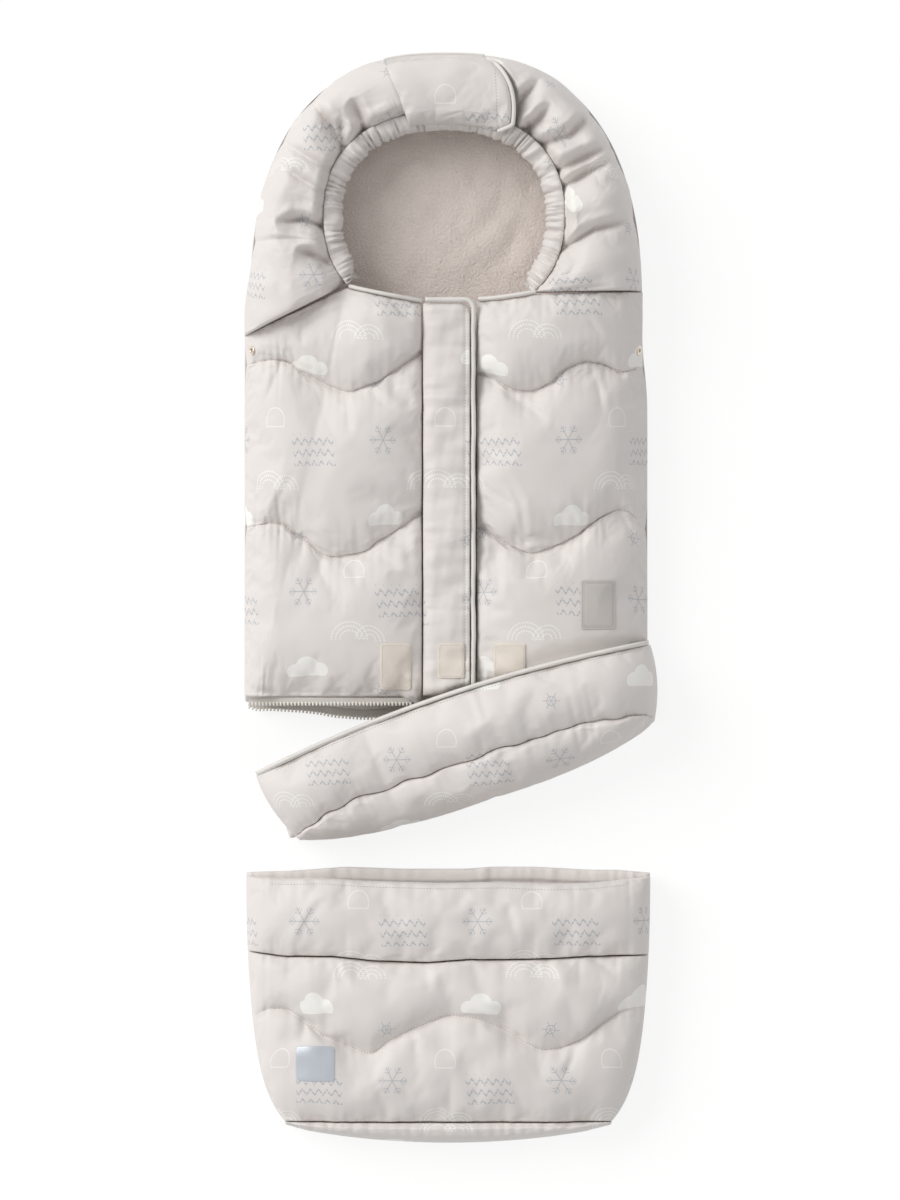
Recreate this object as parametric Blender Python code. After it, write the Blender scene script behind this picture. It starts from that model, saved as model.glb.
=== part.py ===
"""Child's padded footmuff, laid flat on its back: hooded bag, unzipped foot end, separate extension.

Metres. +Z up from the floor, +Y towards the hood, +X to the right as seen from above.
The origin is on the underside of the bag's back.
"""

import math

import bmesh
import bpy
from mathutils import Matrix, Vector

MM = 0.001

# Gaps between pieces that touch, and layer thicknesses
GAP = 0.3 * MM
SHELL = 1.5 * MM
LINING = 1.5 * MM
WADDING = 20 * MM
BINDING = 5 * MM

# Bag outline in plan
HALF_WIDTH = 217 * MM
BAG_END_Y = -326 * MM
HOOD_SPRING_Y = 90 * MM
HOOD_TOP_Y = 371 * MM
HOOD_EXPONENT = 2.75
HOOD_LEFT_END_Y = 67 * MM
HOOD_RIGHT_END_Y = 115 * MM

# Face opening and its gathered casing
FACE_CENTRE = (-2 * MM, 195.5 * MM)
FACE_HALF_WIDTH = 110 * MM
FACE_HALF_HEIGHT = 92 * MM
FACE_EXPONENT = 2.3
CASING_WIDTH = 19 * MM
CASING_LEFT_END = 218.8
CASING_RIGHT_END = -45.3
FLAP_LEFT = (106.0, 104.2)
FLAP_RIGHT = (61.5, 76.6)

# Heights, from the top of the back
BACK_TOP = SHELL + GAP + WADDING + GAP + LINING
SEAM_TOP = BACK_TOP + 10.4 * MM
HOOD_PEAK = BACK_TOP + 84.4 * MM
HOOD_INNER = BACK_TOP + 38.4 * MM
CASING_TOP = BACK_TOP + 64.4 * MM
ELASTIC = 3 * MM
CAVITY_AT_NECK = 44 * MM
CAVITY_AT_END = 17 * MM
FOLD_TOP = (BACK_TOP + 70.4 * MM, BACK_TOP + 26.4 * MM)
CENTRE_TOP = (BACK_TOP + 72.4 * MM, BACK_TOP + 42.4 * MM)
FRONT_CROWN = (13 * MM, 5 * MM)
NECK_EDGE_BELOW = (22 * MM, 8 * MM)
NECK_EDGE_WIDTH = 4 * MM

# Front: fold line, placket and zip
FOLD_NECK_BELOW = 2.8 * MM
NECK_Y = FACE_CENTRE[1] - FACE_HALF_HEIGHT + 0.5 * MM
FOLD_END_INSET = 18 * MM
FOLD_END_X = -HALF_WIDTH + FOLD_END_INSET
PLACKET_SEAM_X = -25 * MM
PLACKET_EDGE_X = 31 * MM
RIGHT_FRONT_X = 34 * MM
ZIP_X = 20 * MM
TRIM_START_X = -42 * MM
TRIM_DEPTH = 24 * MM
TRIM_END_Y = BAG_END_Y + TRIM_DEPTH
TAPE = 0.8 * MM
TAPE_WIDTH = 12 * MM
RIGHT_TAPE_WIDTH = 9.5 * MM
BEAD = 2.4 * MM
BEAD_SPLIT = 1.6 * MM
BEAD_WIDTH = 3.0 * MM
END_TAPE_WIDTH = 9 * MM
ZIP_END_INSET = 4 * MM
ZIP_NECK_INSET = 8 * MM
TAPE_STEP = 0.1 * MM
ZIP_CLEARANCE = 10 * MM
SLIDER_LENGTH = 16 * MM
SLIDER_PLATE = 1.6 * MM
SLIDER_WIDTH = 11 * MM
SLIDER_PARK_Y = TRIM_END_Y + 4 * MM
RIGHT_CHAIN_END_Y = SLIDER_PARK_Y + 20 * MM
PULLER_LENGTH = 24 * MM
PULLER_WIDTH = 7 * MM
PULLER_THICKNESS = 1.2 * MM
END_ZIP_HEIGHT = 11 * MM
END_ZIP_SHORT = 42 * MM
END_ZIP_LEFT_X = TRIM_START_X - END_ZIP_SHORT

# Snaps and patches
SNAP_Y = 51.8 * MM
SNAP_INSET = 8 * MM
SNAP_RADIUS = 5 * MM
SNAP_DEPTH = 4 * MM
PATCH = 1.0 * MM
SNAP_CAP = 1.5 * MM
SNAP_PROUD = 1.2 * MM
LOOP_PATCH_TOP = BAG_END_Y + 64 * MM
LOOP_PATCH_HEIGHT = 51 * MM
LOOP_PATCH_LEFT = (-54 * MM, 33 * MM)
LOOP_PATCH_RIGHT = (68 * MM, 34 * MM)
LOOP_PATCH_MIDDLE_HEIGHT = 38 * MM
LABEL_CENTRE = (HALF_WIDTH - 54 * MM, BAG_END_Y + 105 * MM)
LABEL_SIZE = (38 * MM, 53 * MM)

# Hood flap
FLAP_DEPTH = 20 * MM
FLAP_PROUD = 3 * MM
FLAP_HINGE_ABOVE = 0.5 * MM
TAPE_LAYER = 1.2 * MM

# Foot end, in its own frame: u along its length, v towards the bag
FOOT_CORNER = (HALF_WIDTH + 4.4 * MM, BAG_END_Y + 64.6 * MM)
FOOT_TILT = math.radians(18.5)
FOOT_LENGTH = 2 * HALF_WIDTH + 10 * MM
FOOT_SEAM_V = (-57 * MM, -77 * MM)
FOOT_END_V = (-104 * MM, -82 * MM)
FOOT_RIM_V = (19 * MM, 3 * MM)
FOOT_END_SHRINK = 0.10
FOOT_END_DROP = 63.428571 * MM
FOOT_UNDER_LEFT = BACK_TOP + 26.4 * MM
FOOT_RAMP = 120 * MM
FOOT_RAMP_AHEAD = 2.2646 * MM
FOOT_RAMP_END = (RIGHT_FRONT_X - FOOT_RAMP_AHEAD - FOOT_CORNER[0]) / math.cos(FOOT_TILT)
FOOT_THICKNESS = 29 * MM
FOOT_BACK_CLEAR_Y = BAG_END_Y - 24 * MM

# Extension
EXT_CENTRE_X = 2.5 * MM
EXT_HALF_TOP = HALF_WIDTH + 0.5 * MM
EXT_TAPER = 41.5 * MM
EXT_BACK_PROUD = 9 * MM
EXT_CUFF = 85 * MM
EXT_LENGTH = 265 * MM
EXT_TOP_Y = BAG_END_Y - 186 * MM
EXT_BACK_Y = EXT_TOP_Y + EXT_BACK_PROUD
EXT_CUFF_Y = EXT_TOP_Y - EXT_CUFF
EXT_SEAM_Y = EXT_TOP_Y - EXT_LENGTH
EXT_GUSSET = 21 * MM
EXT_CAVITY = 22 * MM
EXT_PEAK = BACK_TOP + 56.4 * MM
REFLECTOR_CENTRE = (EXT_CENTRE_X - 142.5 * MM, EXT_SEAM_Y + 64 * MM)
REFLECTOR_SIZE = (42 * MM, 38 * MM)

# Colours: shell, fleece, binding, zip, tape patch, metal, label, reflective
SHELL_RGB = (0.66, 0.64, 0.61)
FLEECE_RGB = (0.55, 0.47, 0.43)
BINDING_RGB = (0.70, 0.68, 0.65)
ZIP_RGB = (0.77, 0.73, 0.65)
LOOP_RGB = (0.66, 0.60, 0.52)
METAL_RGB = (0.78, 0.62, 0.48)
LABEL_RGB = (0.50, 0.48, 0.46)
REFLECT_RGB = (0.56, 0.64, 0.74)
WADDING_RGB = (0.85, 0.85, 0.83)


def clear_scene():
    for obj in list(bpy.data.objects):
        bpy.data.objects.remove(obj, do_unlink=True)


def material(name, rgb, roughness=0.85, metallic=0.0):
    made = bpy.data.materials.new(name)
    made.use_nodes = True
    shader = made.node_tree.nodes["Principled BSDF"]
    shader.inputs["Base Color"].default_value = (*rgb, 1)
    shader.inputs["Roughness"].default_value = roughness
    shader.inputs["Metallic"].default_value = metallic
    return made


def finish(name, bm, rgb, roughness=0.85, metallic=0.0):
    bmesh.ops.recalc_face_normals(bm, faces=bm.faces[:])
    mesh = bpy.data.meshes.new(name)
    bm.to_mesh(mesh)
    bm.free()
    mesh.materials.append(material(name, rgb, roughness, metallic))
    obj = bpy.data.objects.new(name, mesh)
    bpy.context.scene.collection.objects.link(obj)
    return obj


def lerp(a, b, t):
    return a + (b - a) * t


def spread(start, end, count):
    return [lerp(start, end, i / count) for i in range(count + 1)]


def slab(name, columns, rows, place, low, high, rgb):
    """A grid over columns x rows, laid out in plan by place(a, b), thick from low to high."""
    bm = bmesh.new()
    bmesh.ops.create_grid(bm, x_segments=len(columns) - 1, y_segments=len(rows) - 1, size=0.5)
    top = bmesh.ops.extrude_face_region(bm, geom=bm.faces[:])["geom"]
    raised = {v for v in top if isinstance(v, bmesh.types.BMVert)}
    for vert in bm.verts:
        a = columns[round((vert.co.x + 0.5) * (len(columns) - 1))]
        b = rows[round((vert.co.y + 0.5) * (len(rows) - 1))]
        x, y = place(a, b)
        height = high if vert in raised else low
        vert.co = (x, y, height(a, b, x, y))
    return finish(name, bm, rgb)


def plate(name, outline, bottom, top, rgb):
    """A flat sheet with the given outline, bottom and top heights."""
    bm = bmesh.new()
    face = bm.faces.new([bm.verts.new((x, y, bottom)) for x, y in outline])
    made = bmesh.ops.extrude_face_region(bm, geom=[face])["geom"]
    raised = [v for v in made if isinstance(v, bmesh.types.BMVert)]
    bmesh.ops.translate(bm, vec=(0, 0, top - bottom), verts=raised)
    return finish(name, bm, rgb)


def prism(name, profile, start, along, rgb, roughness=0.4, metallic=0.9):
    """A profile of points in space at start, extruded by the vector along."""
    bm = bmesh.new()
    face = bm.faces.new([bm.verts.new(Vector(start) + Vector(p)) for p in profile])
    made = bmesh.ops.extrude_face_region(bm, geom=[face])["geom"]
    raised = [v for v in made if isinstance(v, bmesh.types.BMVert)]
    bmesh.ops.translate(bm, vec=along, verts=raised)
    return finish(name, bm, rgb, roughness, metallic)


def superellipse(centre, half_width, half_height, exponent, degrees):
    c = math.cos(math.radians(degrees))
    s = math.sin(math.radians(degrees))
    x = math.copysign(abs(c) ** (2 / exponent), c)
    y = math.copysign(abs(s) ** (2 / exponent), s)
    return centre[0] + half_width * x, centre[1] + half_height * y


# The hood ring: t runs from its left end over the top to its right end in T_STEPS steps,
# r is 0 at the face opening, 1 at the casing's seam and 2 at the outline.
T_LEFT, T_FLAP, T_RIGHT = 13, 5, 12
T_STEPS = T_LEFT + T_FLAP + T_RIGHT
RING_R = [1, 1.1, 1.22, 1.38, 1.54, 1.7, 1.82, 1.92, 2]
FLAP_R = RING_R[1:7]


def outline_point(degrees):
    if degrees < 0 or degrees > 180:
        side = 1 if degrees < 90 else -1
        drop = HALF_WIDTH * math.tan(math.radians(-degrees if degrees < 0 else degrees - 180))
        return side * HALF_WIDTH, HOOD_SPRING_Y - drop
    top = HOOD_TOP_Y - HOOD_SPRING_Y
    return superellipse((0, HOOD_SPRING_Y), HALF_WIDTH, top, HOOD_EXPONENT, degrees)


def ring_angles(t):
    left_out = 180 + math.degrees(math.atan2(HOOD_SPRING_Y - HOOD_LEFT_END_Y, HALF_WIDTH))
    rise = (HOOD_RIGHT_END_Y - HOOD_SPRING_Y) / (HOOD_TOP_Y - HOOD_SPRING_Y)
    right_out = math.degrees(math.asin(rise ** (HOOD_EXPONENT / 2)))
    stops = [(0, CASING_LEFT_END, left_out), (T_LEFT, *FLAP_LEFT)]
    stops += [(T_LEFT + T_FLAP, *FLAP_RIGHT), (T_STEPS, CASING_RIGHT_END, right_out)]
    for (t0, in0, out0), (t1, in1, out1) in zip(stops, stops[1:]):
        if t <= t1 or t1 == T_STEPS:
            share = (t - t0) / (t1 - t0)
            return lerp(in0, in1, share), lerp(out0, out1, share)


def ring_point(t, r):
    inner_angle, outer_angle = ring_angles(t)
    grow = CASING_WIDTH * min(r, 1)
    inner = superellipse(
        FACE_CENTRE, FACE_HALF_WIDTH + grow, FACE_HALF_HEIGHT + grow, FACE_EXPONENT, inner_angle
    )
    if r <= 1:
        return inner
    outer = outline_point(outer_angle)
    return lerp(inner[0], outer[0], r - 1), lerp(inner[1], outer[1], r - 1)


FOLD_NECK = (ring_point(0, 1)[0], ring_point(0, 1)[1] - FOLD_NECK_BELOW)


def ring_inner(r):
    """Underside of the hood's lining."""
    low = BACK_TOP + GAP
    if r <= 1:
        return HOOD_INNER
    return low + (HOOD_INNER - low) * math.cos((r - 1) * math.pi / 2) ** 0.8 if r < 2 else low


def ring_top(r):
    if r < 1.22:
        return lerp(CASING_TOP + 8 * MM, HOOD_PEAK, math.sin((r - 1) / 0.22 * math.pi / 2))
    return SEAM_TOP + (HOOD_PEAK - SEAM_TOP) * math.sqrt(1 - ((r - 1.22) / 0.78) ** 4)


def end_share(y):
    """0 at the neckline, 1 at the bag's end."""
    return (FOLD_NECK[1] - y) / (FOLD_NECK[1] - BAG_END_Y)


def front_inner(x, y):
    """Underside of the front's lining."""
    cavity = lerp(CAVITY_AT_NECK, CAVITY_AT_END, end_share(y))
    return BACK_TOP + GAP + cavity * (1 - min(1, abs(x) / HALF_WIDTH) ** 3)


def fold_x(y):
    return lerp(FOLD_NECK[0], FOLD_END_X, end_share(y))


def fold_top(y):
    return lerp(*FOLD_TOP, end_share(y))


def centre_top(y):
    return lerp(*CENTRE_TOP, end_share(y))


def crown(y):
    return lerp(*FRONT_CROWN, end_share(y))


def left_end_y(x):
    """Lower edge of the folding front: cut back where the foot end lies over it."""
    if x < TRIM_START_X:
        return BAG_END_Y
    share = (x - TRIM_START_X) / (PLACKET_EDGE_X - TRIM_START_X)
    return lerp(BAG_END_Y, TRIM_END_Y, share)


def left_neck_y(x):
    share = (x - FOLD_NECK[0]) / (PLACKET_SEAM_X - FOLD_NECK[0])
    return lerp(FOLD_NECK[1], NECK_Y - 2 * MM, share ** 0.8)


def right_neck_y(x):
    casing_end = ring_point(T_STEPS, 1)
    if x < casing_end[0]:
        share = max(0, x - RIGHT_FRONT_X) / (casing_end[0] - RIGHT_FRONT_X)
        return lerp(NECK_Y, casing_end[1] - 2 * MM, share ** 1.5)
    share = (x - casing_end[0]) / (HALF_WIDTH - casing_end[0])
    return lerp(casing_end[1] - 2 * MM, HOOD_RIGHT_END_Y - GAP, share)


def side_left_place(a, b):
    y_out = lerp(BAG_END_Y, HOOD_LEFT_END_Y - 2 * GAP, b)
    y_in = lerp(BAG_END_Y, FOLD_NECK[1], b)
    return lerp(-HALF_WIDTH, fold_x(y_in) - GAP / 2, a), lerp(y_out, y_in, a)


def side_left_top(a, b, x, y):
    return SEAM_TOP + (fold_top(y) - SEAM_TOP) * math.sqrt(1 - (1 - a) ** 2)


def front_left_place(a, b):
    """a is 0 at the fold and 1 at the placket's seam, and runs on under the placket."""
    if a <= 1:
        x_end = lerp(FOLD_END_X + GAP / 2, PLACKET_SEAM_X, a)
        x_neck = lerp(FOLD_NECK[0] + GAP / 2, PLACKET_SEAM_X, a)
    else:
        x_end = x_neck = lerp(PLACKET_SEAM_X, PLACKET_EDGE_X, a - 1)
    y_neck = left_neck_y(min(x_neck, PLACKET_SEAM_X))
    y_end = left_end_y(x_end)
    return lerp(x_end, x_neck, b), lerp(y_end, y_neck, b)


def front_left_top(a, b, x, y):
    return lerp(fold_top(y), centre_top(y), a) + crown(y) * math.sin(math.pi * min(a, 1))


def front_right_place(a, b):
    x = lerp(RIGHT_FRONT_X, HALF_WIDTH, a)
    return x, lerp(BAG_END_Y, right_neck_y(x), b)


def front_right_top(a, b, x, y):
    full = centre_top(y) + crown(y)
    if a < 0.25:
        return lerp(centre_top(y), full, math.sin(a / 0.25 * math.pi / 2))
    return SEAM_TOP + (full - SEAM_TOP) * (1 - ((a - 0.25) / 0.75) ** 2.6) ** 0.6


def above_lining(inner):
    return lambda a, b, x, y: inner(x, y) + LINING + GAP


def raised(top, offset):
    return lambda a, b, x, y: top(a, b, x, y) + offset


def bag_outline():
    points = [(-HALF_WIDTH, BAG_END_Y), (HALF_WIDTH, BAG_END_Y)]
    points += [outline_point(d) for d in range(0, 181, 6)]
    return points


def make_back():
    outline = bag_outline()
    wadding = SHELL + GAP
    lining = wadding + WADDING + GAP
    return [
        plate("back_outer", outline, 0, SHELL, SHELL_RGB),
        plate("back_wadding", outline, wadding, wadding + WADDING, WADDING_RGB),
        plate("back_lining", outline, lining, BACK_TOP, FLEECE_RGB),
    ]


def ring_low(a, b, x, y):
    return ring_inner(b) + LINING + GAP


def ring_high(a, b, x, y):
    return ring_top(b)


def under_flap(a, b, x, y):
    """Top of the hood beneath the flap, dished to take the flap's thickness."""
    flat = RING_R[1] - 0.001 < b < FLAP_R[-1] + 0.001
    return ring_top(b) - (FLAP_DEPTH if flat else FLAP_DEPTH / 3)


def make_hood():
    lining_r = [0.06, *RING_R[:-1]]
    left = [0, *range(1, T_LEFT), T_LEFT - 0.01]
    top = [T_LEFT + 0.01, *range(T_LEFT + 1, T_LEFT + T_FLAP), T_LEFT + T_FLAP - 0.01]
    right = [T_LEFT + T_FLAP + 0.01, *range(T_LEFT + T_FLAP + 1, T_STEPS + 1)]
    pad_r = [1.01, *RING_R[1:]]
    hook_t = [T_LEFT + T_FLAP - 2, T_LEFT + T_FLAP - 1]
    loop_top = raised(ring_high, -FLAP_DEPTH + GAP + TAPE_LAYER)
    return [
        slab("hood_left_pad", left, pad_r, ring_point, ring_low, ring_high, SHELL_RGB),
        slab("hood_top_pad", top, pad_r, ring_point, ring_low, under_flap, SHELL_RGB),
        slab("hood_right_pad", right, pad_r, ring_point, ring_low, ring_high, SHELL_RGB),
        slab(
            "hood_lining",
            range(T_STEPS + 1),
            lining_r,
            ring_point,
            lambda a, b, x, y: ring_inner(b),
            lambda a, b, x, y: ring_inner(b) + LINING,
            FLEECE_RGB,
        ),
        slab(
            "neck_elastic",
            range(T_STEPS + 1),
            [0.3, 0.75],
            ring_point,
            lambda a, b, x, y: HOOD_INNER + LINING + GAP,
            lambda a, b, x, y: HOOD_INNER + LINING + GAP + ELASTIC,
            BINDING_RGB,
        ),
        slab(
            "neck_casing",
            range(T_STEPS + 1),
            [0, 0.33, 0.66, 0.99],
            ring_point,
            lambda a, b, x, y: HOOD_INNER + LINING + GAP + ELASTIC + GAP,
            lambda a, b, x, y: CASING_TOP - (6 * MM if b in (0, 0.99) else 0),
            SHELL_RGB,
        ),
        slab(
            "hood_flap_loop",
            hook_t,
            FLAP_R[1:-1],
            ring_point,
            raised(ring_high, -FLAP_DEPTH + GAP),
            loop_top,
            LOOP_RGB,
        ),
    ]


def make_hood_flap():
    """Flap over the top of the hood, sewn along its left edge; the hook tape is under its free edge."""
    t_end = T_LEFT + T_FLAP - 0.12
    bind_start = T_LEFT + T_FLAP - 0.35
    flap_t = [T_LEFT + 0.02, *range(T_LEFT + 1, T_LEFT + T_FLAP), bind_start - 0.02]
    hook_t = [T_LEFT + T_FLAP - 2, T_LEFT + T_FLAP - 1]
    flap_low = -FLAP_DEPTH + 3 * GAP + 2 * TAPE_LAYER + GAP
    return [
        slab(
            "hood_flap_pad",
            flap_t,
            FLAP_R,
            ring_point,
            raised(ring_high, flap_low),
            raised(ring_high, FLAP_PROUD),
            SHELL_RGB,
        ),
        slab(
            "hood_flap_binding",
            [bind_start, t_end],
            FLAP_R,
            ring_point,
            raised(ring_high, flap_low),
            raised(ring_high, 1 * MM),
            BINDING_RGB,
        ),
        slab(
            "hood_flap_hook",
            hook_t,
            FLAP_R[1:-1],
            ring_point,
            raised(ring_high, -FLAP_DEPTH + 2 * GAP + TAPE_LAYER),
            raised(ring_high, flap_low - GAP),
            LOOP_RGB,
        ),
    ]


def zip_level(y):
    """Middle of the front zip's chain."""
    return front_inner(0, y) + LINING + GAP + TAPE / 2


def zip_half(name, inner_x, side, neck_y, end_y):
    """Tape and moulded chain of one side of the front zip; side is -1 for the left half."""
    bead_x = ZIP_X + side * BEAD_SPLIT / 2
    tape_x = bead_x + side * BEAD_WIDTH
    columns = [inner_x, tape_x - side * TAPE_STEP, tape_x, bead_x]
    thick = {inner_x: TAPE, columns[1]: TAPE, tape_x: BEAD, bead_x: BEAD}
    return slab(
        name,
        columns,
        spread(end_y, neck_y, 6),
        lambda a, b: (a, b),
        lambda a, b, x, y: zip_level(y) - thick[a] / 2,
        lambda a, b, x, y: zip_level(y) + thick[a] / 2,
        ZIP_RGB,
    )


def end_zip_rows():
    """Rows of the end zip's halves: tape from the pad's edge, then the chain."""
    tape_end = BAG_END_Y - END_TAPE_WIDTH
    return [BAG_END_Y - GAP, tape_end, tape_end - TAPE_STEP, tape_end - TAPE_STEP - BEAD_WIDTH]


def end_zip_front(name, x0, x1):
    """Zip half along the lower edge of the front, which arches over the mouth."""
    rows = end_zip_rows()

    def level(x):
        return front_inner(x, BAG_END_Y) + LINING + GAP + 3 * MM

    def thick(b):
        return TAPE / 2 if b > rows[2] else BEAD / 2

    return slab(
        name,
        spread(x0, x1, 10),
        rows,
        lambda a, b: (a, b),
        lambda a, b, x, y: level(x) - thick(b),
        lambda a, b, x, y: level(x) + thick(b),
        ZIP_RGB,
    )


def patch_on(name, centre, size, surface, rgb):
    """A thin patch that follows the pad's upper surface."""
    return slab(
        name,
        spread(-0.5, 0.5, 4),
        spread(-0.5, 0.5, 4),
        lambda a, b: (centre[0] + a * size[0], centre[1] + b * size[1]),
        lambda a, b, x, y: surface(x, y) + 2 * GAP,
        lambda a, b, x, y: surface(x, y) + 2 * GAP + PATCH,
        rgb,
    )


def left_surface(x, y):
    share = (x - fold_x(y)) / (PLACKET_SEAM_X - fold_x(y))
    return front_left_top(share, 0, x, y)


def side_surface(x, y):
    return side_left_top((x + HALF_WIDTH) / (fold_x(y) + HALF_WIDTH), 0, x, y)


def right_surface(x, y):
    share = (x - RIGHT_FRONT_X) / (HALF_WIDTH - RIGHT_FRONT_X)
    return front_right_top(share, 0, x, y)


def make_front_left():
    rows = spread(0, 1, 12)
    pad_columns = [*spread(0, 0.9, 7), 0.999]
    lining_columns = [*spread(0, 0.9, 7), 1, 1.6]
    tape_edge = ZIP_X - BEAD_SPLIT / 2 - BEAD_WIDTH - TAPE_WIDTH
    pad = slab(
        "front_left_pad",
        pad_columns,
        rows,
        front_left_place,
        above_lining(front_inner),
        front_left_top,
        SHELL_RGB,
    )
    lining = slab(
        "front_left_lining",
        lining_columns,
        rows,
        front_left_place,
        lambda a, b, x, y: front_inner(x, y),
        lambda a, b, x, y: front_inner(x, y) + LINING,
        FLEECE_RGB,
    )
    binding = slab(
        "neckline_binding_left",
        pad_columns[2:],
        [0, 1],
        lambda a, b: edge_strip(front_left_place(a, 1), b),
        raised(front_left_top, -NECK_EDGE_BELOW[0]),
        raised(front_left_top, -NECK_EDGE_BELOW[1]),
        BINDING_RGB,
    )
    patch_centre = (LOOP_PATCH_LEFT[0], LOOP_PATCH_TOP - LOOP_PATCH_HEIGHT / 2)
    patch_size = (LOOP_PATCH_LEFT[1], LOOP_PATCH_HEIGHT)
    return [
        pad,
        lining,
        binding,
        zip_half(
            "front_zip_left", tape_edge, -1, NECK_Y - ZIP_NECK_INSET, TRIM_END_Y + ZIP_END_INSET
        ),
        end_zip_front("bag_zip_front_left", FOLD_END_X + ZIP_END_INSET, END_ZIP_LEFT_X),
        patch_on("loop_patch_left", patch_centre, patch_size, left_surface, LOOP_RGB),
    ]


def edge_strip(point, b):
    return point[0], point[1] + GAP + b * NECK_EDGE_WIDTH


def make_side_left():
    rows = spread(0, 1, 12)
    columns = [0, 0.04, 0.1, 0.18, 0.3, 0.46, 0.64, 0.82, 1]
    pad = slab(
        "side_left_pad",
        columns,
        rows,
        side_left_place,
        above_lining(front_inner),
        side_left_top,
        SHELL_RGB,
    )
    lining = slab(
        "side_left_lining",
        columns,
        rows,
        side_left_place,
        lambda a, b, x, y: front_inner(x, y),
        lambda a, b, x, y: front_inner(x, y) + LINING,
        FLEECE_RGB,
    )
    return [pad, lining]


def make_front_right():
    rows = spread(0, 1, 12)
    columns = [0, 0.06, 0.14, 0.25, 0.4, 0.55, 0.68, 0.79, 0.88, 0.94, 0.98, 1]
    tape_edge = ZIP_X + BEAD_SPLIT / 2 + BEAD_WIDTH
    return [
        slab(
            "front_right_pad",
            columns,
            rows,
            front_right_place,
            above_lining(front_inner),
            front_right_top,
            SHELL_RGB,
        ),
        slab(
            "front_right_lining",
            [-0.032, *columns],
            rows,
            front_right_place,
            lambda a, b, x, y: front_inner(x, y),
            lambda a, b, x, y: front_inner(x, y) + LINING,
            FLEECE_RGB,
        ),
        slab(
            "neckline_binding_right",
            columns[:4],
            [0, 1],
            lambda a, b: edge_strip(front_right_place(a, 1), b),
            raised(front_right_top, -NECK_EDGE_BELOW[0]),
            raised(front_right_top, -NECK_EDGE_BELOW[1]),
            BINDING_RGB,
        ),
        zip_half(
            "front_zip_right",
            tape_edge + RIGHT_TAPE_WIDTH,
            1,
            NECK_Y - ZIP_NECK_INSET,
            RIGHT_CHAIN_END_Y,
        ),
        end_zip_front(
            "bag_zip_front_right", RIGHT_FRONT_X + 2 * MM, HALF_WIDTH - ZIP_END_INSET
        ),
        patch_on(
            "loop_patch_right",
            (LOOP_PATCH_RIGHT[0], LOOP_PATCH_TOP - LOOP_PATCH_HEIGHT / 2),
            (LOOP_PATCH_RIGHT[1], LOOP_PATCH_HEIGHT),
            right_surface,
            LOOP_RGB,
        ),
        patch_on("label_patch", LABEL_CENTRE, LABEL_SIZE, right_surface, LABEL_RGB),
    ]


def placket_place(a, b):
    end = left_end_y(a) + 2 * MM
    return a, lerp(end, NECK_Y, b)


def placket_top(a, b, x, y):
    middle = (PLACKET_SEAM_X + PLACKET_EDGE_X) / 2
    share = (x - middle) / (PLACKET_EDGE_X - middle)
    return centre_top(y) + 4 * MM * (1 - share * share)


def placket_low(a, b, x, y):
    return zip_level(y) + ZIP_CLEARANCE


def make_placket():
    """Storm flap over the zip, sewn along its left edge."""
    rows = spread(0, 1, 8)
    pad_end = PLACKET_EDGE_X - BINDING - GAP
    columns = [PLACKET_SEAM_X + GAP, *spread(-12 * MM, 14 * MM, 2), pad_end]
    patch_rows = spread(LOOP_PATCH_TOP - LOOP_PATCH_MIDDLE_HEIGHT, LOOP_PATCH_TOP, 2)
    return [
        slab(
            "placket_pad", columns, rows, placket_place, placket_low, placket_top, SHELL_RGB
        ),
        slab(
            "placket_binding",
            [PLACKET_EDGE_X - BINDING, PLACKET_EDGE_X],
            rows,
            placket_place,
            placket_low,
            raised(placket_top, 0.5 * MM),
            BINDING_RGB,
        ),
        slab(
            "loop_patch_middle",
            [-9 * MM, 0, 9 * MM, 20 * MM],
            patch_rows,
            lambda a, b: (a, b),
            raised(placket_top, 2 * GAP),
            raised(placket_top, 2 * GAP + PATCH),
            LOOP_RGB,
        ),
    ]


def zip_direction():
    """Unit vector up the front zip, from its end to the neckline."""
    rise = zip_level(NECK_Y) - zip_level(BAG_END_Y)
    return Vector((0, NECK_Y - BAG_END_Y, rise)).normalized()


def make_front_slider():
    """Two plates joined by a post that runs between the two chains."""
    half = SLIDER_WIDTH / 2
    inner = BEAD / 2 + GAP
    outer = inner + SLIDER_PLATE
    post = 0.5 * MM
    profile = [
        (half, 0, outer),
        (-half, 0, outer),
        (-half, 0, inner),
        (-post, 0, inner),
        (-post, 0, -inner),
        (-half, 0, -inner),
        (-half, 0, -outer),
        (half, 0, -outer),
        (half, 0, -inner),
        (post, 0, -inner),
        (post, 0, inner),
        (half, 0, inner),
    ]
    start = Vector((ZIP_X, SLIDER_PARK_Y, zip_level(SLIDER_PARK_Y)))
    way = zip_direction()
    slider = prism("front_zip_slider", profile, start, way * SLIDER_LENGTH, METAL_RGB)
    hinge = start + way * (SLIDER_LENGTH * 0.6) + Vector((0, 0, outer + GAP + PULLER_THICKNESS / 2))
    puller = make_puller("front_zip_puller", hinge, way, PULLER_WIDTH)
    return slider, puller, hinge


def make_puller(name, hinge, way, width):
    """Flat tab that lies along way from its hinge."""
    side = Vector((0, 0, 1)).cross(way).normalized()
    up = Vector((0, 0, 1)) * (PULLER_THICKNESS / 2)
    near = side * (width * 0.25)
    wide = side * (width / 2)
    out = way * PULLER_LENGTH
    neck = way * (PULLER_LENGTH * 0.35)
    profile = [-near, near, near + neck, wide + neck, wide + out, -wide + out]
    profile += [-wide + neck, -near + neck]
    return prism(name, [p - up for p in profile], hinge, up * 2, METAL_RGB)


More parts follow.
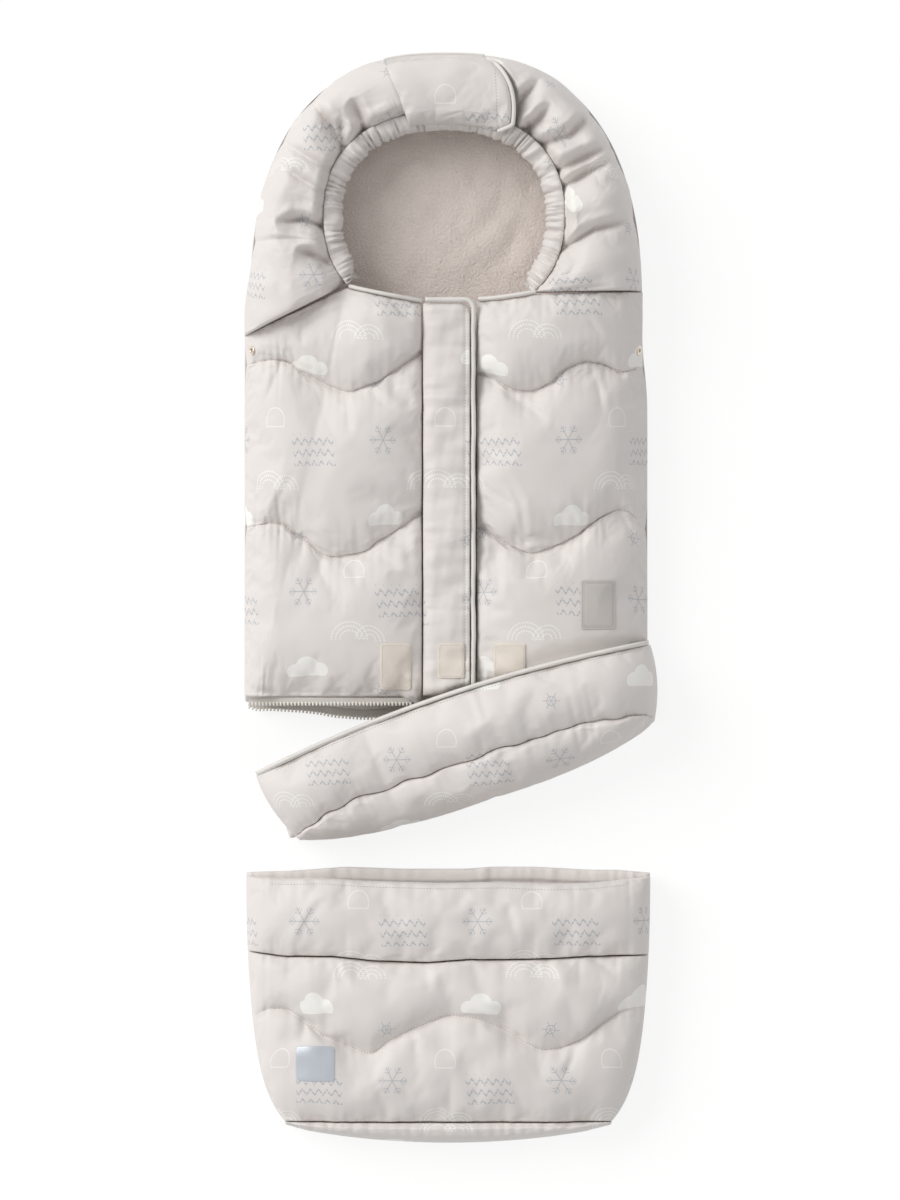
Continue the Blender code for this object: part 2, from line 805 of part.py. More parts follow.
def make_end_zip():
    """Back half of the zip round the bag's end, and its slider parked at the right."""
    rows = end_zip_rows()
    thick = [TAPE / 2, TAPE / 2, BEAD / 2, BEAD / 2]
    half = dict(zip(rows, thick))
    slab(
        "bag_zip_back",
        [-HALF_WIDTH + ZIP_END_INSET, HALF_WIDTH - ZIP_END_INSET],
        rows,
        lambda a, b: (a, b),
        lambda a, b, x, y: END_ZIP_HEIGHT - half[b],
        lambda a, b, x, y: END_ZIP_HEIGHT + half[b],
        ZIP_RGB,
    )
    inner = BEAD / 2 + GAP
    outer = inner + SLIDER_PLATE
    front = rows[3] - GAP
    back = rows[1] + 1.5 * MM
    wall = front - 2 * MM
    profile = [
        (0, back, outer),
        (0, wall, outer),
        (0, wall, -outer),
        (0, back, -outer),
        (0, back, -inner),
        (0, front, -inner),
        (0, front, inner),
        (0, back, inner),
    ]
    start = Vector((HALF_WIDTH - ZIP_END_INSET, 0, END_ZIP_HEIGHT))
    slider = prism("bag_zip_slider", profile, start, (-SLIDER_LENGTH, 0, 0), METAL_RGB)
    lift = outer + GAP + PULLER_THICKNESS / 2
    hinge = Vector((start.x - SLIDER_LENGTH * 0.6, (front + back) / 2, END_ZIP_HEIGHT + lift))
    puller = make_puller("bag_zip_puller", hinge, Vector((-1, 0, 0)), PULLER_WIDTH)
    return slider, puller, hinge


def round_piece(name, place, inner, outer, bottom, top, roughness=0.3):
    """A disc, or a ring where inner is above 0, turned about its own axis and put at place."""
    bm = bmesh.new()
    corners = [(inner, bottom), (outer, bottom), (outer, top), (inner, top)]
    verts = [bm.verts.new((r, 0, z)) for r, z in corners]
    edges = [bm.edges.new((verts[i], verts[(i + 1) % 4])) for i in range(4 if inner else 3)]
    bmesh.ops.spin(
        bm,
        geom=verts + edges,
        cent=(0, 0, 0),
        axis=(0, 0, 1),
        angle=math.tau,
        steps=24,
        use_merge=True,
    )
    bmesh.ops.remove_doubles(bm, verts=bm.verts[:], dist=0.00001)
    bmesh.ops.transform(bm, matrix=place, verts=bm.verts[:])
    return finish(name, bm, METAL_RGB, roughness, 0.9)


def make_snap(side, pad, surface):
    """Ring snap with its cap behind, seated in a recess square to the pad's surface."""
    tag = "right" if side > 0 else "left"
    x = side * (HALF_WIDTH - SNAP_INSET)
    step = SNAP_RADIUS / 2
    slope_x = (surface(x + step, SNAP_Y) - surface(x - step, SNAP_Y)) / (2 * step)
    slope_y = (surface(x, SNAP_Y + step) - surface(x, SNAP_Y - step)) / (2 * step)
    normal = Vector((-slope_x, -slope_y, 1)).normalized()
    turn = normal.to_track_quat("Z", "Y").to_matrix().to_4x4()
    place = Matrix.Translation((x, SNAP_Y, surface(x, SNAP_Y))) @ turn
    outer = SNAP_RADIUS + GAP
    cutter = round_piece("snap_cutter_" + tag, place, 0, outer, -SNAP_DEPTH, 8 * SNAP_DEPTH)
    cutter.hide_render = True
    cutter.display_type = "WIRE"
    cut = pad.modifiers.new("snap recess", "BOOLEAN")
    cut.operation = "DIFFERENCE"
    cut.object = cutter
    cap_top = -SNAP_DEPTH + GAP + SNAP_CAP
    hole = SNAP_RADIUS * 0.45
    return [
        round_piece("snap_cap_" + tag, place, 0, SNAP_RADIUS, -SNAP_DEPTH + GAP, cap_top),
        round_piece("snap_ring_" + tag, place, hole, SNAP_RADIUS, cap_top + GAP, SNAP_PROUD),
    ]


def foot_w(u):
    return 2 * u / FOOT_LENGTH + 1


def foot_to_world(u, v):
    c, s = math.cos(FOOT_TILT), math.sin(FOOT_TILT)
    return FOOT_CORNER[0] + u * c - v * s, FOOT_CORNER[1] + u * s + v * c


def foot_seam_v(u):
    return lerp(*FOOT_SEAM_V, abs(foot_w(u)) ** 4)


def foot_end_v(u):
    return lerp(*FOOT_END_V, abs(foot_w(u)) ** 3)


def foot_rim_v(u):
    return lerp(*FOOT_RIM_V, foot_w(u) ** 2) - BINDING


def foot_place(a, b):
    """b from -1 at the gusset's outer edge, over 0 at the seam, to 1 at the rim."""
    if b <= 0:
        v = lerp(foot_seam_v(a), foot_end_v(a), -b)
    elif b <= 1:
        v = lerp(foot_seam_v(a), foot_rim_v(a), b)
    else:
        v = foot_rim_v(a) + GAP + (b - 1) * BINDING
    return foot_to_world(foot_u(a, v), v)


def foot_u(a, v):
    """Place along the foot end, whose ends slant inwards away from the rim."""
    depth = (foot_rim_v(a) - v) / (foot_rim_v(a) - foot_end_v(a))
    middle = -FOOT_LENGTH / 2
    return middle + (a - middle) * (1 - FOOT_END_SHRINK * depth * depth)


def foot_seat():
    """Height of the bag's front where the foot end's rim lies on it."""
    heights = [0]
    for u in spread(-FOOT_LENGTH, 0, 60):
        x, y = foot_to_world(u, foot_rim_v(u) + BINDING)
        if RIGHT_FRONT_X < x < HALF_WIDTH:
            heights.append(right_surface(x, y))
    return max(heights) + 2 * GAP + PATCH + GAP


def foot_zip_low(a, b, x, y):
    """Underside of the foot end's front, where the zip half lies."""
    over_bag = min(1, max(0, (a - FOOT_RAMP_END) / FOOT_RAMP + 1))
    full = lerp(FOOT_UNDER_LEFT, foot_seat(), over_bag)
    seam = WADDING + GAP
    closing = abs(foot_w(a)) ** (FOOT_LENGTH / FOOT_END_DROP)
    return seam + (full - seam) * math.sqrt(max(0, 1 - closing))


def foot_lining_low(a, b, x, y):
    return foot_zip_low(a, b, x, y) + BEAD + GAP


def foot_pad_low(a, b, x, y):
    return foot_lining_low(a, b, x, y) + LINING + GAP


def foot_pad_high(a, b, x, y):
    ends = 0.35 + 0.65 * math.sqrt(max(0, 1 - abs(foot_w(a)) ** 6))
    bulge = 0.62 + 0.38 * math.sin(math.pi * min(1, max(0, b)))
    return foot_pad_low(a, b, x, y) + FOOT_THICKNESS * ends * bulge


def foot_gusset_low(a, b, x, y):
    if b < -0.45:
        return 0
    share = (b + 0.45) / 0.45
    back = WADDING + GAP
    return back + (foot_pad_low(a, 0, x, y) - back) * math.sin(share * math.pi / 2)


def foot_gusset_high(a, b, x, y):
    seam = foot_pad_high(a, 0, x, y)
    base = 24 * MM
    return base + (seam - base) * math.sqrt(1 - b * b)


def foot_back_outline():
    steps = spread(-FOOT_LENGTH + 5 * MM, -72 * MM, 14)
    near = []
    far = []
    for u in steps:
        c, s = math.cos(FOOT_TILT), math.sin(FOOT_TILT)
        gusset_v = lerp(foot_seam_v(u), foot_end_v(u), 0.44)
        clear_v = (FOOT_BACK_CLEAR_Y - FOOT_CORNER[1] - u * s) / c
        far_v = min(foot_rim_v(u) - 2 * MM, clear_v)
        near.append(foot_to_world(foot_u(u, gusset_v), gusset_v))
        far.append(foot_to_world(foot_u(u, far_v), far_v))
    return near + far[::-1]


def make_foot_end():
    columns = spread(-FOOT_LENGTH + 1 * MM, -1 * MM, 18)
    front = [0.01, 0.2, 0.4, 0.6, 0.8, 1]
    gusset = [-1, -0.75, -0.46, -0.45, -0.25, 0]
    zip_stops = [0.76, 0.88, 0.89, 0.94]

    def zip_low(a, b, x, y):
        return foot_zip_low(a, b, x, y) + (BEAD / 2 - TAPE / 2 if b < zip_stops[2] else 0)

    def zip_high(a, b, x, y):
        return foot_zip_low(a, b, x, y) + (BEAD / 2 + TAPE / 2 if b < zip_stops[2] else BEAD)

    return [
        slab("foot_front_pad", columns, front, foot_place, foot_pad_low, foot_pad_high, SHELL_RGB),
        slab(
            "foot_lining",
            columns,
            front,
            foot_place,
            foot_lining_low,
            raised(foot_lining_low, LINING),
            FLEECE_RGB,
        ),
        slab(
            "foot_gusset", columns, gusset, foot_place, foot_gusset_low, foot_gusset_high, SHELL_RGB
        ),
        plate("foot_back_pad", foot_back_outline(), 0, WADDING, SHELL_RGB),
        slab(
            "foot_rim_binding",
            columns,
            [1, 2],
            lambda a, b: foot_place(a, b + 0.0001 if b == 1 else b),
            lambda a, b, x, y: foot_pad_low(a, 1, x, y),
            lambda a, b, x, y: foot_pad_high(a, 1, x, y) + 1 * MM,
            BINDING_RGB,
        ),
        slab("foot_zip", columns[1:-1], zip_stops, foot_place, zip_low, zip_high, ZIP_RGB),
    ]


def ext_half(y):
    depth = max(0, (EXT_TOP_Y - y) / (EXT_TOP_Y - EXT_SEAM_Y))
    return EXT_HALF_TOP - EXT_TAPER * depth ** 2.2


def ext_place(a, b):
    return EXT_CENTRE_X + a * ext_half(b), b


def ext_closing(y):
    depth = max(0, (EXT_TOP_Y - y) / (EXT_TOP_Y - EXT_SEAM_Y))
    return 1 - depth**5


def ext_inner(a, b, x, y):
    """Underside of the extension's front lining."""
    low = WADDING + GAP + LINING + GAP
    return low + EXT_CAVITY * (1 - abs(a) ** 2.5) * ext_closing(y)


def ext_low(a, b, x, y):
    return ext_inner(a, b, x, y) + LINING + GAP


def ext_high(a, b, x, y):
    top = lerp(EXT_PEAK - 18 * MM, EXT_PEAK, ext_closing(y))
    return SEAM_TOP + (top - SEAM_TOP) * (1 - abs(a) ** 4) ** 0.5


def ext_gusset_place(a, b):
    depth = 3 * MM + (EXT_GUSSET - 3 * MM) * (1 - a * a)
    return EXT_CENTRE_X + a * ext_half(EXT_SEAM_Y), EXT_SEAM_Y - GAP - b * depth


def ext_gusset_high(a, b, x, y):
    seam = ext_high(a, 0, 0, EXT_SEAM_Y)
    base = 22 * MM
    return base + (seam - base) * math.sqrt(1 - b * b)


def ext_outline(top_y, end_y, inset):
    rows = spread(top_y, end_y, 8)
    left = [(EXT_CENTRE_X - ext_half(y) + inset, y) for y in rows]
    right = [(EXT_CENTRE_X + ext_half(y) - inset, y) for y in rows[::-1]]
    return left + right


def ext_surface(x, y):
    return ext_high((x - EXT_CENTRE_X) / ext_half(y), 0, x, y)


def make_extension():
    columns = [-1, -0.97, -0.88, -0.74, -0.5, -0.25, 0, 0.25, 0.5, 0.74, 0.88, 0.97, 1]
    cuff_rows = spread(EXT_CUFF_Y + GAP, EXT_TOP_Y, 3)
    front_rows = spread(EXT_SEAM_Y, EXT_CUFF_Y - GAP, 8)
    zip_stops = [EXT_TOP_Y - 4 * MM, EXT_TOP_Y - 7 * MM, EXT_TOP_Y - 7.1 * MM]
    zip_stops.append(EXT_TOP_Y - 18 * MM)

    def zip_low(a, b, x, y):
        top = ext_inner(a, b, x, y) - GAP
        return top - (BEAD if b > zip_stops[2] else BEAD / 2 + TAPE / 2)

    def zip_high(a, b, x, y):
        top = ext_inner(a, b, x, y) - GAP
        return top - (0 if b > zip_stops[2] else BEAD / 2 - TAPE / 2)

    lining = WADDING + GAP
    return [
        slab(
            "extension_cuff",
            columns,
            cuff_rows,
            ext_place,
            ext_low,
            raised(ext_high, 2 * MM),
            SHELL_RGB,
        ),
        slab(
            "extension_front_pad", columns, front_rows, ext_place, ext_low, ext_high, SHELL_RGB
        ),
        slab(
            "extension_lining_front",
            columns,
            front_rows + cuff_rows[1:],
            ext_place,
            ext_inner,
            raised(ext_inner, LINING),
            FLEECE_RGB,
        ),
        plate(
            "extension_back_pad",
            ext_outline(EXT_BACK_Y, EXT_SEAM_Y, 0),
            0,
            WADDING,
            SHELL_RGB,
        ),
        plate(
            "extension_lining_back",
            ext_outline(EXT_BACK_Y - 2 * MM, EXT_SEAM_Y, 1 * MM),
            lining,
            lining + LINING,
            FLEECE_RGB,
        ),
        slab(
            "extension_gusset",
            spread(-1, 1, 12),
            [0, 0.4, 0.75, 1],
            ext_gusset_place,
            lambda a, b, x, y: 0,
            ext_gusset_high,
            SHELL_RGB,
        ),
        slab(
            "extension_zip", columns[2:-2], zip_stops, ext_place, zip_low, zip_high, ZIP_RGB
        ),
        patch_on(
            "reflective_patch", REFLECTOR_CENTRE, REFLECTOR_SIZE, ext_surface, REFLECT_RGB
        ),
    ]


def carry(name, origin, objects, parent=None):
    """An empty on the joint's axis that carries a moving body's pieces."""
    holder = bpy.data.objects.new(name, None)
    bpy.context.scene.collection.objects.link(holder)
    holder.location = Vector(origin)
    world = Matrix.Translation(origin)
    if parent:
        holder.parent = parent[0]
        holder.matrix_parent_inverse = Matrix.Translation(parent[1]).inverted()
    for obj in objects:
        obj.parent = holder
        obj.matrix_parent_inverse = world.inverted()
    return holder, origin


def main():
    clear_scene()
    make_back()
    make_hood()
    side_left = make_side_left()
    front_right = make_front_right()
    make_snap(-1, side_left[0], side_surface)
    make_snap(1, front_right[0], right_surface)
    end_slider, end_puller, end_hinge = make_end_zip()
    slider, puller, hinge = make_front_slider()
    fold = carry("front_left_fold", (*FOLD_NECK, FOLD_TOP[0]), make_front_left())
    seam = (PLACKET_SEAM_X, NECK_Y, CENTRE_TOP[0])
    carry("placket_lift", seam, make_placket(), fold)
    zip_run = carry("front_slide", tuple(slider.data.vertices[0].co), [slider], fold)
    carry("front_puller_lift", tuple(hinge), [puller], zip_run)
    end_run = carry("bag_slide", tuple(end_slider.data.vertices[0].co), [end_slider])
    carry("bag_puller_lift", tuple(end_hinge), [end_puller], end_run)
    flap_seam = HOOD_PEAK + FLAP_PROUD + FLAP_HINGE_ABOVE
    carry("hood_flap_lift", (*ring_point(T_LEFT, 1), flap_seam), make_hood_flap())
    carry("foot_end_lift", (*foot_to_world(2 * MM, 0), 0), make_foot_end())
    carry("extension_lift", (EXT_CENTRE_X, EXT_TOP_Y, 0), make_extension())


main()
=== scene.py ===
"""Child's padded footmuff, laid flat on its back, as seen from straight above.

Metres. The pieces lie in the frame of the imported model: +Y towards the hood, +Z up from the floor.
"""

import math

import bmesh
import bpy
import numpy as np
from bpy.props import FloatProperty, FloatVectorProperty, IntProperty, PointerProperty
from mathutils import Matrix, Vector
from mathutils.bvhtree import BVHTree


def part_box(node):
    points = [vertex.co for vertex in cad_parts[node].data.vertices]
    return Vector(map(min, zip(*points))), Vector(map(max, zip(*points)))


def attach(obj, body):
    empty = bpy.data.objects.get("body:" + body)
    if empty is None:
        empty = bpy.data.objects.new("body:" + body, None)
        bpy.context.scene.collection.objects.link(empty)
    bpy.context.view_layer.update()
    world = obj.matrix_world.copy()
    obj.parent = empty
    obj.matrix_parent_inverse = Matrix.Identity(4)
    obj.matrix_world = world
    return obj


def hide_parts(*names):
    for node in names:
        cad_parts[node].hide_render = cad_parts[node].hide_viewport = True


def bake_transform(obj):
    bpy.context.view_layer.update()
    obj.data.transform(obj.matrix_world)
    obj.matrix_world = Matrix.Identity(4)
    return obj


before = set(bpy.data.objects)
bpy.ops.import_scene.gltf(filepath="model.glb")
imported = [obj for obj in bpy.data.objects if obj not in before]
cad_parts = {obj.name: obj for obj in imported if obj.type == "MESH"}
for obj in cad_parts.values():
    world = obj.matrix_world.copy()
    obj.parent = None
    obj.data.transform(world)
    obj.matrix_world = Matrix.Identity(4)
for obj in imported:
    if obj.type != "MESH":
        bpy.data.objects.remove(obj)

bl_info = {
    "name": "Padded Footmuff",
    "version": (1, 0, 0),
    "blender": (4, 5, 0),
    "location": "View3D > Sidebar > Footmuff",
    "description": "Builds a quilted footmuff with hood, unzipped foot end and separate extension",
    "category": "Add Mesh",
}

MM = 0.001

# Outline and levels of the frame's solids, which the fabric pieces repeat
GAP = 0.3 * MM
LINING = 1.5 * MM
BACK_TOP = 23.6 * MM
HALF_WIDTH = 217 * MM
BAG_END_Y = -326 * MM
BACK_SAG_Y = -292 * MM
BACK_SAG = 11.2 * MM
HOOD_SPRING_Y = 90 * MM
HOOD_TOP_Y = 371 * MM
HOOD_EXPONENT = 2.52
HOOD_LEFT_END_Y = 67 * MM
HOOD_RIGHT_END_Y = 115 * MM
FACE_CENTRE = (-2 * MM, 195.5 * MM)
FACE_HALF_WIDTH = 110 * MM
FACE_HALF_HEIGHT = 92 * MM
FACE_EXPONENT = 2.3
CASING_WIDTH = 19 * MM
T_LEFT, T_FLAP_END, T_END = 13, 18, 30
FLAP_IN, FLAP_OUT = 0.3, 1.94
HOOD_PEAK = 108 * MM
HOOD_INNER = 62 * MM
CASING_TOP = 88 * MM
SEAM_Z = 28 * MM
FOLD_TOP = (94 * MM, 50 * MM)
CENTRE_TOP = (96 * MM, 66 * MM)
CAVITY = (44 * MM, 17 * MM)
FRONT_CROWN = (13 * MM, 5 * MM)
NECK_Y = 104 * MM
FOLD_NECK = (-105.8 * MM, 118.8 * MM)
FOLD_END_X = -199 * MM
PLACKET_SEAM_X = -25 * MM
PLACKET_EDGE_X = 31 * MM
RIGHT_FRONT_X = 34 * MM
ZIP_X = 20 * MM
PLACKET_STITCH_X = 20.4 * MM
TRIM_START_X = -42 * MM
TRIM_END_Y = -302 * MM
END_ZIP_HEIGHT = 11 * MM
FOOT_CORNER = (221.4 * MM, -261.4 * MM)
FOOT_TILT = math.radians(18.5)
FOOT_LENGTH = 444 * MM
FOOT_SEAM_V = (-57 * MM, -77 * MM)
FOOT_END_V = (-104 * MM, -82 * MM)
FOOT_RIM_V = (14 * MM, -2 * MM)
FOOT_SEAT = 76.2 * MM
FOOT_THICKNESS = 29 * MM
FOOT_BACK_TOP = 20.3 * MM
FOOT_PAD_RISE = 4.6 * MM
EXT_CENTRE_X = 2.5 * MM
EXT_TOP_Y = -512 * MM
EXT_BACK_Y = -503 * MM
EXT_SEAM_Y = -777 * MM
EXT_PEAK = 80 * MM
EXT_ZIP_Y = -524 * MM
EXT_LINE_HALF = 215 * MM

# Centre and size of each sewn-on patch
PATCHES = {
    "loop_tape_left": ((-0.054, -0.2875), (0.033, 0.05)),
    "loop_tape_right": ((0.068, -0.2875), (0.034, 0.05)),
    "loop_tape_middle": ((0.0055, -0.281), (0.029, 0.038)),
    "bare_label": ((0.163, -0.221), (0.038, 0.053)),
    "reflective_film": ((-0.140, -0.713), (0.042, 0.038)),
}
LABEL_FRAME = (2.2 * MM, 3.6 * MM)
SLIDER_LENGTH = 15.4 * MM

# Drawing on which seams and folds are marked: its centre, and one step in millimetres
DRAWING_CENTRE = (446, 400)
DRAWING_STEP = 1.08

# Stage
VIEW_CENTRE = (4.32 * MM, -216 * MM)
FLOOR_Z = -0.8 * MM
KEY_DIRECTION = (-0.72, 0.42, 0.62)

PADS = {}


# Shapes in plan

def lerp(a, b, t):
    return a + (b - a) * t


def ramp(value, reach):
    """0 to 1 as the value goes from 0 to its reach."""
    return np.clip(value / reach, 0, 1)


def dome(x, power=2, root=0.5):
    """1 at 0 and 0 at 1, flat at first and then ever steeper."""
    return (1 - x ** power).clip(0) ** root


def rounded(edge):
    """How far a rounded edge lies under the full level: all of it at 0, none from 1 on."""
    return 1 - dome(1 - edge)


def at_px(marks):
    """Plan places, in metres, of points marked on the drawing."""
    cx, cy = DRAWING_CENTRE
    return [((x - cx) * DRAWING_STEP * MM, (cy - y) * DRAWING_STEP * MM) for x, y in marks]


def superellipse(centre, half_width, half_height, exponent, degrees):
    angle = np.radians(degrees)
    c, s = np.cos(angle), np.sin(angle)
    x = np.sign(c) * np.abs(c) ** (2 / exponent)
    y = np.sign(s) * np.abs(s) ** (2 / exponent)
    return centre[0] + half_width * x, centre[1] + half_height * y


def drawn_in(x, y):
    """Outline's sides, which the hood's elastic draws in a little above the front."""
    start, reach = np.where(x > 0, -10 * MM, 90 * MM), np.where(x > 0, 80 * MM, 60 * MM)
    share = ramp(y - start, reach)
    return x - x * 0.025 * share * share * (3 - 2 * share)


def outline_point(degrees):
    degrees = np.asarray(degrees, float)
    x, y = superellipse(
        (0, HOOD_SPRING_Y), HALF_WIDTH, HOOD_TOP_Y - HOOD_SPRING_Y, HOOD_EXPONENT, np.clip(degrees, 0, 180)
    )
    drop = HALF_WIDTH * np.tan(np.radians(np.maximum(0, np.maximum(-degrees, degrees - 180))))
    side = np.where(degrees < 90, 1, -1)
    below = (degrees < 0) | (degrees > 180)
    x, y = np.where(below, side * HALF_WIDTH, x), np.where(below, HOOD_SPRING_Y - drop, y)
    return drawn_in(x, y), y


def ring_point(t, r):
    """Place in the hood's ring: r is 0 at the face, 1 at the casing's seam and 2 outside."""
    left_out = 180 + math.degrees(math.atan2(HOOD_SPRING_Y - HOOD_LEFT_END_Y, HALF_WIDTH))
    rise = (HOOD_RIGHT_END_Y - HOOD_SPRING_Y) / (HOOD_TOP_Y - HOOD_SPRING_Y)
    right_out = math.degrees(math.asin(rise ** (HOOD_EXPONENT / 2)))
    stops = [0, T_LEFT, T_FLAP_END, T_END]
    inner_angle = np.interp(t, stops, [218.8, 106.0, 61.5, -45.3])
    outer_angle = np.interp(t, stops, [left_out, 104.2, 76.6, right_out])
    grow = CASING_WIDTH * np.minimum(r, 1)
    ix, iy = superellipse(
        FACE_CENTRE, FACE_HALF_WIDTH + grow, FACE_HALF_HEIGHT + grow, FACE_EXPONENT, inner_angle
    )
    ox, oy = outline_point(outer_angle)
    q = np.maximum(r, 1) - 1
    return lerp(ix, ox, q), lerp(iy, oy, q)


def ring_inner(r):
    low = BACK_TOP + GAP
    curve = np.cos((np.clip(r, 1, 2) - 1) * math.pi / 2).clip(0) ** 0.8
    return low + (HOOD_INNER - low) * curve


def ring_top(r):
    inner = lerp(CASING_TOP + 8 * MM, HOOD_PEAK, np.sin(ramp(r - 1, 0.22) * math.pi / 2))
    fall = dome(ramp(r - 1.22, 0.78), 4)
    return np.where(r < 1.22, inner, SEAM_Z + (HOOD_PEAK - SEAM_Z) * fall)


def end_share(y):
    return (FOLD_NECK[1] - y) / (FOLD_NECK[1] - BAG_END_Y)


def front_inner(x, y):
    cavity = lerp(*CAVITY, end_share(y))
    return BACK_TOP + GAP + cavity * (1 - np.minimum(1, np.abs(x) / HALF_WIDTH) ** 3)


def fold_x(y):
    return lerp(FOLD_NECK[0], FOLD_END_X, end_share(y))


def centre_top(y):
    return lerp(*CENTRE_TOP, end_share(y))


def left_profile(x, y):
    fx, top = fold_x(y), lerp(*FOLD_TOP, end_share(y))
    a = ramp(x + HALF_WIDTH, fx + HALF_WIDTH)
    side = SEAM_Z + (top - SEAM_Z) * dome(1 - a)
    b = ramp(x - fx, PLACKET_SEAM_X - fx)
    front = lerp(top, centre_top(y), b) + lerp(*FRONT_CROWN, end_share(y)) * np.sin(math.pi * b)
    return np.where(x < fx, side, front)


def right_profile(x, y):
    a = ramp(x - RIGHT_FRONT_X, HALF_WIDTH - RIGHT_FRONT_X)
    full = centre_top(y) + lerp(*FRONT_CROWN, end_share(y))
    inner = lerp(centre_top(y), full, np.sin(ramp(a, 0.25) * math.pi / 2))
    fall = dome(ramp(a - 0.25, 0.75), 2.6, 0.6)
    return np.where(a < 0.25, inner, SEAM_Z + (full - SEAM_Z) * fall)


def left_neck_y(x):
    out = ramp(x + HALF_WIDTH, FOLD_NECK[0] + HALF_WIDTH)
    share = ramp(x - FOLD_NECK[0], PLACKET_SEAM_X - FOLD_NECK[0])
    over = lerp(FOLD_NECK[1], NECK_Y - 2 * MM, share ** 0.8)
    return np.where(x < FOLD_NECK[0], lerp(HOOD_LEFT_END_Y, FOLD_NECK[1], out), over)


def right_neck_y(x):
    ex, ey = ring_point(T_END, 1)
    share = ramp(x - RIGHT_FRONT_X, ex - RIGHT_FRONT_X)
    out = ramp(x - ex, HALF_WIDTH - ex)
    inner = lerp(NECK_Y, ey - 2 * MM, share ** 1.5)
    return np.where(x < ex, inner, lerp(ey - 2 * MM, HOOD_RIGHT_END_Y - GAP, out))


def left_end_y(x):
    share = ramp(x - TRIM_START_X, PLACKET_EDGE_X - TRIM_START_X)
    return lerp(BAG_END_Y, TRIM_END_Y, share)


# Mesh helpers

def link(obj, material, body, replaces=()):
    bpy.context.scene.collection.objects.link(obj)
    obj.data.materials.clear()
    obj.data.materials.append(material)
    if body:
        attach(obj, body)
    if replaces:
        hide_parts(*replaces)
    return obj


def mesh_object(name, bm, smooth=True):
    bmesh.ops.recalc_face_normals(bm, faces=bm.faces[:])
    mesh = bpy.data.meshes.new(name)
    bm.to_mesh(mesh)
    bm.free()
    if smooth:
        mesh.polygons.foreach_set("use_smooth", [True] * len(mesh.polygons))
    return bpy.data.objects.new(name, mesh)


def slab(name, top, bottom, uv=None):
    """A closed sheet between two grids of points, each (rows, columns, 3)."""
    rows, cols = top.shape[:2]
    bm = bmesh.new()
    place_in_grid = bm.verts.layers.int.new("grid")
    layer = bm.loops.layers.uv.new("cloth")
    bmesh.ops.create_grid(bm, x_segments=cols - 1, y_segments=rows - 1, size=0.5)
    made = bmesh.ops.extrude_face_region(bm, geom=bm.faces[:])["geom"]
    raised = {v for v in made if isinstance(v, bmesh.types.BMVert)}
    places = uv if uv is not None else top[..., :2]
    flat = {}
    for vert in bm.verts:
        i = round((vert.co.x + 0.5) * (cols - 1))
        j = round((vert.co.y + 0.5) * (rows - 1))
        flat[vert] = places[j, i]
        vert[place_in_grid] = j * cols + i + 1 if vert in raised else 0
        vert.co = top[j, i] if vert in raised else bottom[j, i]
    for face in bm.faces:
        for loop in face.loops:
            loop[layer].uv = flat[loop.vert]
    return mesh_object(name, bm)


def points(*values):
    """Points from their coordinates, each an array or one number for all."""
    return np.stack(np.broadcast_arrays(*values), axis=-1).astype(float)


def smooth_noise(x, y, size, seed):
    """Repeatable smooth noise, about -1 to 1, with bumps about size across and others half as wide."""
    rng = np.random.default_rng(seed)
    total = np.zeros(np.broadcast(x, y).shape)
    for octave in range(2):
        for _ in range(7):
            angle, phase = rng.uniform(0, math.tau, 2)
            k = math.tau / (size / 2 ** octave) * rng.uniform(0.7, 1.3)
            wave = np.sin((x * math.cos(angle) + y * math.sin(angle)) * k + phase)
            total += wave / 2 ** octave * 0.32
    return total


def line_distance(x, y, line):
    """Distance in plan to a bent line, and the share of the line at the nearest point."""
    best = np.full(np.broadcast(x, y).shape, 9.0)
    where = np.zeros_like(best)
    lengths = [math.dist(p, q) for p, q in zip(line, line[1:])]
    done, whole = 0.0, sum(lengths)
    for (x0, y0), (x1, y1), length in zip(line, line[1:], lengths):
        share = (((x - x0) * (x1 - x0) + (y - y0) * (y1 - y0)) / length ** 2).clip(0, 1)
        d = np.hypot(x - lerp(x0, x1, share), y - lerp(y0, y1, share))
        where = np.where(d < best, (done + share * length) / whole, where)
        best = np.minimum(best, d)
        done += length
    return best, where


def creases(x, y, lines, depth, width):
    """How far fabric sinks into sharp folds that run along lines and fade at their start."""
    sink = np.zeros(np.broadcast(x, y).shape)
    for line in lines:
        d, share = line_distance(x, y, line)
        fade = np.minimum(1, share / 0.45) ** 0.8
        shape = 0.45 * np.exp(-d / (0.45 * width)) + 0.55 * np.exp(-(d / (2.4 * width)) ** 1.3)
        sink = np.maximum(sink, depth * fade * shape)
    return sink


def arc_uv(top, column, row):
    """Flat places of a grid's points as if the fabric were ironed out from one column and row."""
    across = np.linalg.norm(np.diff(top, axis=1), axis=2)
    along = np.linalg.norm(np.diff(top, axis=0), axis=2)
    u = np.concatenate([np.zeros((len(top), 1)), np.cumsum(across, axis=1)], axis=1)
    v = np.concatenate([np.zeros((1, top.shape[1])), np.cumsum(along, axis=0)], axis=0)
    u += (top[:, column, 0] - u[:, column])[:, None]
    v += (top[row, :, 1] - v[row, :])[None, :]
    return np.stack([u, v], axis=-1)


def outward_uv(top):
    """Flat places of a ring's points as if each of its radial lines were laid out straight."""
    steps = np.linalg.norm(np.diff(top, axis=0), axis=2)
    run = np.concatenate([np.zeros((1, top.shape[1])), np.cumsum(steps, axis=0)])
    way = top[-1, :, :2] - top[0, :, :2]
    way = way / np.linalg.norm(way, axis=1, keepdims=True)
    return top[0, :, :2] + way * run[..., None]


